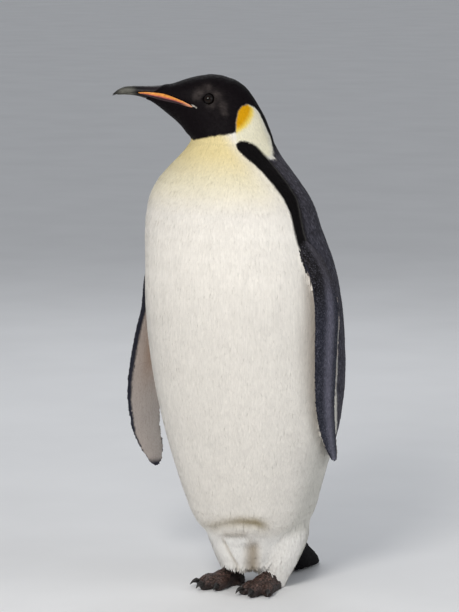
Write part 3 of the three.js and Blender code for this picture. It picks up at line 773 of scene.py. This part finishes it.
def bare(points, labels):
    """Where no feather or scute is rooted: the eyes' openings, and close to the floor."""
    out = np.zeros(len(points), bool)
    for side in (1, -1):
        centre, fore, up, outward = eye_frame(side)
        rel = points - centre
        reach = np.hypot(rel @ fore / LID_OPENING[0], rel @ up / LID_OPENING[1])
        out |= (reach < 1.1) & (rel @ outward > 0)
    feet = (labels == FOOT_L) | (labels == FOOT_R)
    out |= points[:, 2] < np.where(feet, 2.5, 6)
    return out


def scatter(points, faces, normals):
    """Roots spread over the skin, no closer than the pitch at each place."""
    a, b, c = (points[faces[:, k]] for k in range(3))
    area = np.linalg.norm(np.cross(b - a, c - a), axis=1) / 2
    pitch = PITCH[face_label] * feather_scale((a + b + c) / 3, face_label)
    which = np.repeat(np.arange(len(faces)), RNG.poisson(area / pitch ** 2 * CROWD))
    r1, r2 = np.sqrt(RNG.random(len(which))), RNG.random(len(which))
    share = np.stack([1 - r1, r1 * (1 - r2), r1 * r2], 1)
    root = (points[faces[which]] * share[:, :, None]).sum(1)
    normal = unit((normals[faces[which]] * share[:, :, None]).sum(1))
    sole = (face_label[which] >= FOOT_L) & (root[:, 2] < ANKLE_TOP) & (normal[:, 2] < -0.25)
    keep = ~bare(root, face_label[which]) & ~sole
    root, normal, which = root[keep], normal[keep], which[keep]
    order = RNG.permutation(len(root))
    root, normal, which = root[order], normal[order], which[order]
    reach = pitch[which]  # the nearest that another root may be
    kept = thinned(root, reach)
    return root[kept], normal[kept], face_label[which][kept], reach[kept]


def thinned(points, reach):
    """Indices of points kept in order so that no two lie within reach of each other."""
    tree = KDTree(len(points))
    for k, p in enumerate(points.tolist()):
        tree.insert(p, k)
    tree.balance()
    alive = [True] * len(points)
    kept = []
    for k, (p, r) in enumerate(zip(points.tolist(), reach.tolist())):
        if alive[k]:
            kept.append(k)
            for _, other, _ in tree.find_range(p, r):
                alive[other] = False
    return np.array(kept)


# A vane's corners, in shares along its length, across its width and up its camber: six round its
# outline, then two on its shaft and one on its back
VANE = np.array([[0.0, 0.0, 0.0], [0.38, 0.5, 0.0], [0.38, -0.5, 0.0], [0.78, 0.40, 0.0],
                 [0.78, -0.40, 0.0], [1.0, 0.0, 0.0], [0.40, 0.0, 1.0], [0.80, 0.0, 0.8],
                 [0.55, 0.0, -1.0]])
CORNERS, OUTLINE = len(VANE), 6
VANE_FACES = np.array([[0, 2, 6], [0, 6, 1], [2, 4, 6], [6, 4, 7], [6, 7, 3], [6, 3, 1],
                       [4, 5, 7], [7, 5, 3], [8, 2, 0], [8, 4, 2], [8, 5, 4], [8, 3, 5],
                       [8, 1, 3], [8, 0, 1]])
TIP_SHARE = np.array([0, 0, 0, 0.7, 0.7, 1.0, 0.1, 0.6, 0])  # how much each takes the tip's colour


def vanes(root, normal, lie, length, width, high, camber):
    """The corners of closed vanes, in the bird's millimetres."""
    across = np.cross(normal, lie)
    s, u, h = VANE[:, 0], VANE[:, 1], VANE[:, 2]
    lift = ROOT_LIFT + (high - ROOT_LIFT)[:, None] * s[None] ** 1.4 + camber[:, None] * h[None]
    return (root[:, None]
            + lie[:, None] * (length[:, None] * s[None])[:, :, None]
            + across[:, None] * (width[:, None] * u[None])[:, :, None]
            + normal[:, None] * lift[:, :, None])


root, root_normal, root_label, root_pitch = scatter(skin, skin_faces, skin_normal)
print("roots", len(root))
count = len(root)
size = SIZES[root_label]
scute = (root_label >= FOOT_L) & (root[:, 2] < ANKLE_TOP)
size[scute] = SCUTE
lie = lie_of_coat(root, root_normal, root_label)
side_way = np.cross(root_normal, lie)
astray = RNG.normal(0, 1, count) * np.where(root_label == HEAD, 0.1, 0.07)
lie = unit(lie + side_way * astray[:, None])
shrink = root_pitch / PITCH[root_label]
length = root_pitch * size[:, 0] * RNG.uniform(0.82, 1.18, count)
width = root_pitch * size[:, 1] * RNG.uniform(0.88, 1.12, count)
high = size[:, 2] * shrink * RNG.uniform(0.75, 1.2, count)
# Trousers: longer feathers hang over the feet, and close the gap between the legs.
fringe = np.isin(root_label, [TRUNK, LEG_L, LEG_R, FOOT_L, FOOT_R]) & ~scute
fringe = np.where(fringe, smooth(92, 40, root[:, 2]), 0)
hanging = fringe * np.clip(root[:, 2] - FRINGE_FOOT, 9, 30) * RNG.uniform(0.8, 1.15, count)
length = np.maximum(length, hanging)
under = fringe * smooth(0.25, 0.75, -root_normal[:, 2])
lie = unit(lie * (1 - under)[:, None] + np.array([0.0, -0.12, -1.0]) * under[:, None])
squared = unit(root_normal - lie * (root_normal * lie).sum(1, keepdims=True))
root_normal = np.where((under > 0.3)[:, None], squared, root_normal)
# A vane on a thin part is cut short where it would stand off over the part's edge.
thin_parts = np.isin(face_label, [WING_L, WING_R, TAIL, FOOT_L, FOOT_R])
thin_tree = BVHTree.FromPolygons(skin.tolist(), skin_faces[thin_parts].tolist())
for k in np.where(np.isin(root_label, [WING_L, WING_R, TAIL]) | scute)[0]:
    for share in TRIMS:
        if thin_tree.find_nearest(root[k] + lie[k] * length[k] * share)[3] < OVERHANG:
            break
    length[k] *= share
    width[k] *= 0.5 + 0.5 * share
corners = vanes(root, root_normal, lie, length, width, high, size[:, 3] * shrink)
corners[..., 2] = np.maximum(corners[..., 2], FLOOR_CLEARANCE)

# Every corner takes the marking of its own place, so that borders are as crisp as a feather is small.
stray = RNG.normal(0, 0.4, root.shape)
every_corner = (corners + stray[:, None]).reshape(-1, 3)
base, tip, dark = markings(every_corner, np.repeat(root_normal, CORNERS, axis=0),
                           np.repeat(root_label, CORNERS))
base, tip = base.reshape(corners.shape), tip.reshape(corners.shape)
dark = dark.reshape(count, CORNERS).mean(1)
top_of_foot = smooth(0.1, 0.8, root_normal[:, 2]) * smooth(8, 24, root[:, 2])
base[scute] = mix(SCUTE_DARK, SCUTE_WORN, top_of_foot[scute])[:, None]
tip[scute] = base[scute] * 0.8
tone = 1 + RNG.normal(0, 1, count) * (0.02 + 0.13 * np.maximum(dark, scute))
fleck = RNG.random(count) ** 2
tipped = TIP_SHARE[None, :, None] * (0.25 + 0.75 * fleck)[:, None, None]
vane_colour = base + (tip - base) * tipped
vane_colour = np.clip(vane_colour * tone[:, None, None], 0, 1)
PATCH = 0.003  # size of a vane's patch in the map
own_uv = np.stack([VANE[:, 1] + 0.5, VANE[:, 0]], 1)
vane_uv = unwrap(root, root_label, root_normal)[:, None] + own_uv[None] * PATCH


def coat_piece(name, chosen, material):
    """One mesh of the chosen vanes."""
    n = len(chosen)
    faces = (VANE_FACES[None] + (np.arange(n) * CORNERS)[:, None, None]).reshape(-1, 3)
    mesh = make_mesh(name, corners[chosen].reshape(-1, 3), faces)
    set_uv(mesh, "OFBake", vane_uv[chosen].reshape(-1, 2)[faces].reshape(-1, 2))
    set_uv(mesh, "Vane", np.tile(own_uv, (n, 1))[faces].reshape(-1, 2))
    set_colour(mesh, vane_colour[chosen].reshape(-1, 3))
    # Each vane's outline is a sharp edge, so its face and its back are shaded apart.
    ends = np.zeros(len(mesh.edges) * 2, int)
    mesh.edges.foreach_get("vertices", ends)
    rim = (ends.reshape(-1, 2) % CORNERS < OUTLINE).all(1)
    mesh.attributes.new("sharp_edge", "BOOLEAN", "EDGE").data.foreach_set("value", rim)
    mesh.materials.append(material)
    make_piece(name, mesh)


# ---------------------------------------------------------------- materials


class Material:
    """A node material on the Principled shader, with a few shorthands."""

    def __init__(self, name, **sockets):
        self.mat = bpy.data.materials.new(name)
        self.mat.use_nodes = True
        self.nodes, self.links = self.mat.node_tree.nodes, self.mat.node_tree.links
        self.shader = self.nodes["Principled BSDF"]
        for key, value in sockets.items():
            self.shader.inputs[key.replace("_", " ")].default_value = value

    def node(self, kind, **settings):
        made = self.nodes.new(kind)
        for key, value in settings.items():
            setattr(made, key, value)
        return made

    def into(self, socket, source):
        """Links a socket from another node's output, or sets it to a number or a colour."""
        if isinstance(source, (int, float, tuple)):
            socket.default_value = source
        else:
            self.links.new(source, socket)

    def maths(self, what, a, b=0.0):
        made = self.node("ShaderNodeMath", operation=what)
        self.into(made.inputs[0], a)
        self.into(made.inputs[1], b)
        return made.outputs[0]

    def mixed(self, share, a, b, how="MIX"):
        made = self.node("ShaderNodeMix", data_type="RGBA", blend_type=how)
        self.into(made.inputs[0], share)
        self.into(made.inputs[6], a)
        self.into(made.inputs[7], b)
        return made.outputs[2]

    def noise(self, scale, stretch=(1, 1, 1), detail=3.0):
        """Noise in the object's own space, in features per metre, drawn out where stretch is small."""
        where = self.node("ShaderNodeTexCoord").outputs["Object"]
        mapped = self.node("ShaderNodeMapping")
        mapped.inputs["Scale"].default_value = stretch
        self.links.new(where, mapped.inputs["Vector"])
        made = self.node("ShaderNodeTexNoise")
        self.links.new(mapped.outputs[0], made.inputs["Vector"])
        made.inputs["Scale"].default_value = scale
        made.inputs["Detail"].default_value = detail
        return made.outputs["Fac"]

    def cells(self, scale):
        """How far a place is from the edge of its cell, in cells per metre."""
        where = self.node("ShaderNodeTexCoord").outputs["Object"]
        made = self.node("ShaderNodeTexVoronoi", feature="DISTANCE_TO_EDGE")
        self.links.new(where, made.inputs["Vector"])
        made.inputs["Scale"].default_value = scale
        return made.outputs["Distance"]

    def ramp(self, source, low, high, to_low=0.0, to_high=1.0):
        made = self.node("ShaderNodeMapRange")
        for k, value in enumerate((source, low, high, to_low, to_high)):
            self.into(made.inputs[k], value)
        return made.outputs[0]

    def marks(self):
        return self.node("ShaderNodeAttribute", attribute_name="Marks").outputs["Color"]

    def marks_times(self, tone):
        """The marks, lighter or darker by a tone."""
        combine = self.node("ShaderNodeCombineColor")
        for k in range(3):
            self.into(combine.inputs[k], tone)
        return self.mixed(1.0, self.marks(), combine.outputs[0], "MULTIPLY")

    def rough(self, scale, low, high):
        """A roughness that varies between low and high."""
        self.into(self.shader.inputs["Roughness"], self.ramp(self.noise(scale), 0.3, 0.7, low, high))

    def bump(self, height, strength, distance):
        made = self.node("ShaderNodeBump")
        made.inputs["Strength"].default_value = strength
        made.inputs["Distance"].default_value = distance
        self.links.new(height, made.inputs["Height"])
        self.links.new(made.outputs[0], self.shader.inputs["Normal"])

    def paint(self, source):
        self.into(self.shader.inputs["Base Color"], source)


def grey(value):
    return (value, value, value, 1.0)


def plumage(name, barbs):
    """Feather: its own marking, varied softly along the bird, with barbs running out from a shaft."""
    m = Material(name, Specular_IOR_Level=0.07)
    # Faint vertical streaks darken the colour: painted shade between the feathers.
    streak_shade = m.ramp(m.noise(1.0, (420, 420, 26)), 0.3, 0.7, 0.93, 1.03)
    patch_tone = m.ramp(m.noise(24.0), 0.3, 0.7, 0.965, 1.02)
    m.paint(m.marks_times(m.maths("MULTIPLY", streak_shade, patch_tone)))
    m.rough(160.0, 0.52, 0.72)
    if barbs:
        split = m.node("ShaderNodeSeparateXYZ")
        m.links.new(m.node("ShaderNodeUVMap", uv_map="Vane").outputs[0], split.inputs[0])
        off_shaft = m.maths("ABSOLUTE", m.maths("SUBTRACT", split.outputs[0], 0.5))
        slant = m.maths("SUBTRACT", split.outputs[1], off_shaft)
        barb = m.maths("SINE", m.maths("MULTIPLY", slant, 95.0))
        shaft = m.ramp(off_shaft, 0.0, 0.06, 1.0, 0.0)
        m.bump(m.maths("ADD", m.maths("MULTIPLY", barb, 0.35), shaft), 0.22, 0.00018)
    else:
        m.bump(m.noise(1.0, (900, 900, 160)), 0.5, 0.0006)
    return m.mat


def scaled_skin():
    """The feet's scutes: dark brown, redder on top where the skin is worn, creased between."""
    m = Material("foot_skin", Specular_IOR_Level=0.45)
    crease = m.ramp(m.cells(300.0), 0.0, 0.09, 0.0, 1.0)
    fine = m.ramp(m.cells(820.0), 0.0, 0.12, 0.0, 1.0)
    worn = m.ramp(m.noise(42.0), 0.38, 0.66)
    own = m.mixed(worn, rgba("241c18"), rgba("463027"))
    m.paint(m.mixed(m.ramp(crease, 0.0, 1.0, 0.75, 0.0), own, rgba("120e0c")))
    m.rough(120.0, 0.42, 0.62)
    m.bump(m.maths("ADD", crease, m.maths("MULTIPLY", fine, 0.3)), 0.8, 0.0011)
    return m.mat


def horn(name, dark, roughness, grain, pale=None, gloss=0.5):
    """Horn with fine growth lines, in its own marks or clouded between a dark and a pale tone."""
    m = Material(name, Specular_IOR_Level=gloss)
    lines = m.noise(1.0, grain, 4.0)
    own = m.marks()
    if pale:
        own = m.mixed(m.ramp(m.noise(55.0), 0.35, 0.68), rgba(dark), rgba(pale))
    m.paint(m.mixed(m.ramp(lines, 0.35, 0.65, 0.0, 0.35), own, rgba(dark, 0.8)))
    m.rough(200.0, roughness - 0.07, roughness + 0.1)
    m.bump(lines, 0.25, 0.0004)
    return m.mat


def eye_glass():
    """The eye: its own marks, with fine fibres, under a thin clear coat."""
    m = Material("eye", Roughness=0.2, Specular_IOR_Level=0.1, Coat_Weight=0.12, Coat_Roughness=0.05)
    m.paint(m.marks_times(m.ramp(m.noise(900.0), 0.3, 0.7, 0.75, 1.15)))
    return m.mat


FEATHER = plumage("plumage", True)
UNDER = plumage("plumage_skin", False)
FOOT_SKIN = scaled_skin()
BILL = horn("bill_horn", "0d0c0c", 0.5, (260, 260, 900), gloss=0.18)
PLATE = horn("plate_horn", "2a1416", 0.38, (150, 150, 500))
SCUTES = horn("scute_horn", "1c1413", 0.5, (420, 420, 420))
CLAW = horn("claw_horn", "0f0d0c", 0.4, (500, 180, 500), pale="2b2522")
EYE = eye_glass()

# ---------------------------------------------------------------- skin piece

skin_base, _, _ = markings(skin, skin_normal, label)
skin_mesh = make_mesh("skin", skin, skin_faces)
face_normal = unit(np.cross(skin[skin_faces[:, 1]] - skin[skin_faces[:, 0]],
                            skin[skin_faces[:, 2]] - skin[skin_faces[:, 0]]))
loop_uv = unwrap(skin[skin_faces].reshape(-1, 3), np.repeat(face_label, 3),
                 np.repeat(face_normal, 3, axis=0)).reshape(-1, 3, 2)
# Faces across the body's seam are put together at its far end.
body_face = np.isin(face_label, [TRUNK, NECK, HEAD])
seam = body_face & (loop_uv[:, :, 0].max(1) - loop_uv[:, :, 0].min(1) > BODY_U / 2)
low_side = seam[:, None] & (loop_uv[:, :, 0] < BODY_U / 2)
loop_uv[:, :, 0] += BODY_U * low_side
set_uv(skin_mesh, "OFBake", loop_uv.reshape(-1, 2))
set_colour(skin_mesh, np.clip(skin_base * 0.9, 0, 1))
skin_mesh.materials.append(UNDER)
skin_mesh.materials.append(FOOT_SKIN)
bare_foot = np.isin(face_label, [FOOT_L, FOOT_R])
skin_mesh.polygons.foreach_set("material_index", bare_foot.astype(np.int32))
make_piece("skin", skin_mesh, FLESH)

# ---------------------------------------------------------------- coat pieces

MOST_VANES = 14000  # in one piece
GROUPS = [("coat_trunk", [TRUNK], "belly_plumage"), ("coat_neck", [NECK], "chest_plumage"),
          ("coat_head", [HEAD], "black_plumage"), ("coat_tail", [TAIL], "black_plumage"),
          ("coat_wing_left", [WING_L], "flipper_plumage"),
          ("coat_wing_right", [WING_R], "flipper_plumage"),
          ("coat_legs", [LEG_L, LEG_R, FOOT_L, FOOT_R], "belly_plumage")]
coat_piece("foot_scutes", np.where(scute)[0], SCUTES)
for name, parts, slot in GROUPS:
    chosen = np.where(np.isin(root_label, parts) & ~scute)[0]
    chosen = chosen[np.argsort(root[chosen, 2], kind="stable")]
    pieces = max(1, math.ceil(len(chosen) / MOST_VANES))
    for k, some in enumerate(np.array_split(chosen, pieces)):
        coat_piece(name if pieces == 1 else f"{name}_{k + 1}", some, FEATHER)

# ---------------------------------------------------------------- tail quills

TAIL_ROOT, TAIL_END = np.array([0.0, 104.0, 121.0]), np.array([0.0, 246.0, 3.0])  # on its upper side
TAIL_HALF = ([0, 38, 75, 107, 138, 163, 184], [40, 39, 37, 34, 28, 18, 8])  # half width at a distance
QUILL_ROWS = ((22, 84, 9), (62, 80, 9), (98, 82, 8))  # a row's start, its quills' length and number
QUILL_SPREAD = 0.86  # share of the tail's half width at which the outermost quills lie
QUILL_PROFILE = np.array([0.45, 0.85, 1.0, 1.0, 0.95, 0.72, 0.2])  # shares of its width along it
QUILL_HALF, QUILL_THICK = 4.6, 0.5


def tail_quills():
    """Long stiff feathers in overlapping rows down the tail's upper side, each a thin closed strip."""
    along = unit(TAIL_END - TAIL_ROOT)
    up = np.array([0.0, -along[2], along[1]])
    tree = BVHTree.FromPolygons(skin.tolist(), skin_faces[face_label == TAIL].tolist())
    points, faces, places = [], [], []
    steps = len(QUILL_PROFILE)
    for start, reach, number in QUILL_ROWS:
        for share in np.linspace(-QUILL_SPREAD, QUILL_SPREAD, number):
            reach_here = reach * RNG.uniform(0.93, 1.0) * (1 - 0.12 * abs(share))
            path = []
            for k in range(steps):
                s = start + reach_here * k / (steps - 1)
                x = share * (np.interp(s, *TAIL_HALF) - 3)
                spot, way, _, _ = tree.ray_cast(TAIL_ROOT + along * s + up * 60 + [x, 0, 0], -up)
                if spot is None:
                    break
                path.append((np.array(spot), np.array(way), 0.5 + 1.3 * k / (steps - 1)))
            if len(path) < steps:
                continue
            first = len(points)
            for k, (spot, way, lift) in enumerate(path):
                ahead_spot = path[min(k + 1, steps - 1)][0] - path[max(k - 1, 0)][0]
                across = unit(np.cross(way, ahead_spot))
                half = QUILL_HALF * QUILL_PROFILE[k]
                spot = spot + way * lift
                points += [spot + across * half, spot + way * QUILL_THICK, spot - across * half,
                           spot - way * QUILL_THICK * 0.4]
                places += [(u, k / (steps - 1)) for u in (1.0, 0.5, 0.0, 0.5)]
            faces += tube_faces(first, steps, 4)
            last = first + 4 * (steps - 1)
            faces += [(first, first + 1, first + 2), (first, first + 2, first + 3),
                      (last, last + 2, last + 1), (last, last + 3, last + 2)]
    points, faces, places = np.array(points), np.array(faces), np.array(places)
    points[:, 2] = np.maximum(points[:, 2], FLOOR_CLEARANCE)
    mesh = make_mesh("tail_quills", points, faces)
    size = 4 * steps
    root_of = np.repeat(points[::size], size, axis=0)
    root_uv = unwrap(root_of, np.full(len(points), TAIL), np.tile(up, (len(points), 1)))
    set_uv(mesh, "OFBake", (root_uv + places * PATCH)[faces].reshape(-1, 2))
    set_uv(mesh, "Vane", places[faces].reshape(-1, 2))
    shade = np.repeat(RNG.uniform(0.8, 1.3, len(points) // size), size)
    set_colour(mesh, mix(TAIL_BLACK, BACK, places[:, 1] * 0.6) * shade[:, None])
    mesh.materials.append(FEATHER)
    make_piece("tail_quills", mesh)


tail_quills()

# ---------------------------------------------------------------- eyes

EYE_RINGS, EYE_CORNERS = 40, 56


def eyeball(side):
    """An eyeball with a raised cornea, a round pupil and a dark brown iris."""
    centre, fore, up, out = eye_frame(side)
    polar = np.linspace(0, math.pi, EYE_RINGS + 1)[1:-1]
    turn = np.linspace(0, 2 * math.pi, EYE_CORNERS, endpoint=False)
    pp, tt = np.meshgrid(polar, turn, indexing="ij")
    radius = EYE_RADIUS + CORNEA * (1 - smooth(0.42, 0.68, pp))
    ball = np.stack([np.sin(pp) * np.cos(tt), np.sin(pp) * np.sin(tt), np.cos(pp)], -1)
    grid = (ball * radius[..., None]).reshape(-1, 3)
    poles = np.array([[0, 0, EYE_RADIUS + CORNEA], [0, 0, -EYE_RADIUS]])
    local = np.concatenate([grid, poles])
    faces = tube_faces(0, len(polar), EYE_CORNERS)
    last = len(grid) - EYE_CORNERS
    for j in range(EYE_CORNERS):
        k = (j + 1) % EYE_CORNERS
        faces += [(len(grid), j, k), (len(grid) + 1, last + k, last + j)]
    across = np.cross(out, fore)
    points = centre + local @ np.stack([fore, across, out])
    angle = np.concatenate([pp.reshape(-1), [0.0, math.pi]])
    shade = mix(colour("060505"), colour("1d110a"), smooth(0.30, 0.33, angle))
    shade = mix(shade, colour("0c0807"), smooth(0.48, 0.56, angle))
    mesh = make_mesh("eye", points, np.array(faces))
    set_colour(mesh, shade)
    mesh.materials.append(EYE)
    name = "eye_left" if side > 0 else "eye_right"
    make_piece(f"{name}_ball", mesh, [name])


eyeball(1)
eyeball(-1)

# ---------------------------------------------------------------- bill, plates and claws

BILL_CUT = (0.6, 0.8, 824.1)  # the bill's root is where 0.6 ahead + 0.8 up is this many mm
BILL_TUCK = 5.0  # how far that root is drawn back under the feathers, in mm
# Heights of the plates' upper edge and foot, at places ahead
PLATE_TOP = ([72, 78, 90, 103, 114, 126, 142, 158, 171],
             [900, 904, 910, 915.5, 919.5, 922.5, 924, 924.6, 924])
PLATE_FOOT = ([73, 84, 97, 112, 124, 136, 149, 162],
              [898.6, 901, 904.4, 907.2, 909.2, 912.2, 915.8, 919.6])


def horn_piece(name, node, voxel, material, rounds=4, tuck=0.0, paint=None):
    """A horn node, evened out from its facets; its root may reach back under the feathers."""
    points, faces = remeshed([node], voxel, level=4, grow=0.0)
    points = Around(faces, len(points)).evened(points, rounds)
    if tuck:
        ahead_here = (points - HEAD_AXIS) @ AHEAD
        beyond = BILL_CUT[0] * ahead_here + BILL_CUT[1] * points[:, 2] - BILL_CUT[2]
        back = 1 - smooth(0.2, 2.2, beyond)
        middle_line = HEAD_AXIS + np.outer(ahead_here, AHEAD)
        middle_line[:, 2] = points[back > 0.5, 2].mean()
        points = points + back[:, None] * (-AHEAD * tuck + 0.12 * (middle_line - points))
    mesh = make_mesh(name, points, faces)
    if paint is not None:
        set_colour(mesh, paint(points))
    mesh.materials.append(material)
    make_piece(name, mesh, [node])


def plate_tones(points):
    """Orange above, pinker below, dark purple along the foot and towards the tip."""
    a, _, z = untwisted(points)
    top, low = np.interp(a, *PLATE_TOP), np.interp(a, *PLATE_FOOT)
    up = np.clip((z - low) / np.maximum(top - low, 0.8), 0, 1)
    tones = mix(colour("2a1218"), colour("c8645a"), smooth(0.34, 0.5, up))
    tones = mix(tones, colour("ef9a3a"), smooth(0.5, 0.68, up))
    return mix(tones, colour("e9a27c"), smooth(96, 74, a) * 0.8)


def bill_tones(points):
    """Black horn, with a painted greenish-grey highlight on the sides towards the tip."""
    a, b, z = untwisted(points)
    # Painted highlight: greenish grey on the sides towards the tip, keeping the culmen and the very tip
    # dark.
    pale = smooth(170, 186, a) * (1 - 0.9 * smooth(198, 213, a))
    side = smooth(0.5, 3.0, np.abs(b)) * (1 - 0.75 * smooth(929, 934, z))
    tones = mix(colour("121012"), colour("7d7c72"), pale * (0.15 + 0.85 * side) * 0.6)
    return mix(tones, colour("2c2226"), (1 - smooth(150, 176, a)) * 0.5)


for node in ("bill_upper", "bill_lower"):
    horn_piece(f"{node}_horn", node, 0.9, BILL, tuck=BILL_TUCK, paint=bill_tones)
for side in ("left", "right"):
    horn_piece(f"plate_{side}_horn", f"bill_plate_{side}", 0.6, PLATE, 3,
               paint=plate_tones)
for node in sorted(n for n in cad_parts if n.startswith("claw_")):
    horn_piece(f"{node}_horn", node, 0.9, CLAW, 3)

# ---------------------------------------------------------------- stage, light and camera

FLOOR_RADIUS = 60.0  # metres, so that its edge is the horizon
FLOOR_SIDES = 96
FLOOR_DOWN = 0.2  # mm that the floor lies below the soles
TARGET = np.array([-29.5, -19.1, 528.0])  # what the lamps and the camera point at
CAMERA_WAY, CAMERA_DISTANCE = (33.0, 8.3), 5500.0  # azimuth and elevation in degrees, and mm
LENS, SENSOR = 175.8, 36.0  # mm


def stage_floor():
    """A wide disk of pale paper."""
    turns = np.linspace(0, 2 * math.pi, FLOOR_SIDES, endpoint=False)
    rim = np.stack([np.cos(turns), np.sin(turns), 0 * turns], 1) * FLOOR_RADIUS / MM
    points = np.concatenate([[[0, 0, 0]], rim]) - SHIFT
    points[:, 2] = -FLOOR_DOWN
    faces = np.array([[0, 1 + k, 1 + (k + 1) % FLOOR_SIDES] for k in range(FLOOR_SIDES)])
    mesh = make_mesh("floor", points, faces)
    m = Material("floor_paper", Roughness=0.9)
    m.paint(m.mixed(m.ramp(m.noise(3.0), 0.3, 0.7), grey(0.80), grey(0.84)))
    mesh.materials.append(m.mat)
    linked("floor", mesh)


def aimed(obj, azimuth, elevation, distance):
    """Stands an object round the target and points it there; azimuth 0 is in front, 90 at the left."""
    az, el = math.radians(azimuth), math.radians(elevation)
    way = np.array([math.sin(az) * math.cos(el), -math.cos(az) * math.cos(el), math.sin(el)])
    place = row(TARGET + way * distance)
    obj.location = place
    obj.rotation_euler = Vector(row(TARGET) - place).to_track_quat("-Z", "Y").to_euler()


def area_light(name, azimuth, elevation, distance, size, power, tint):
    """A soft round lamp, pointing at the target."""
    lamp = bpy.data.lights.new(name, "AREA")
    lamp.shape, lamp.size, lamp.energy, lamp.color = "DISK", size, power, tint
    aimed(linked(name, lamp), azimuth, elevation, distance)


stage_floor()
area_light("key", 16, 33, 3200, 0.9, 53, (1.0, 0.975, 0.94))
area_light("fill", 95, 22, 3600, 2.4, 20, (0.93, 0.96, 1.0))
area_light("back", 215, 40, 3600, 2.0, 26, (0.95, 0.97, 1.0))
world = bpy.data.worlds.new("studio")
world.use_nodes = True
world.node_tree.nodes["Background"].inputs[0].default_value = (0.86, 0.89, 0.94, 1.0)
world.node_tree.nodes["Background"].inputs[1].default_value = 0.44
bpy.context.scene.world = world
bpy.context.scene.view_settings.view_transform = "Standard"

camera = bpy.data.cameras.new("camera")
camera.lens, camera.sensor_width, camera.clip_end = LENS, SENSOR, 200.0
eye_point = linked("camera", camera)
aimed(eye_point, *CAMERA_WAY, CAMERA_DISTANCE)
bpy.context.scene.camera = eye_point
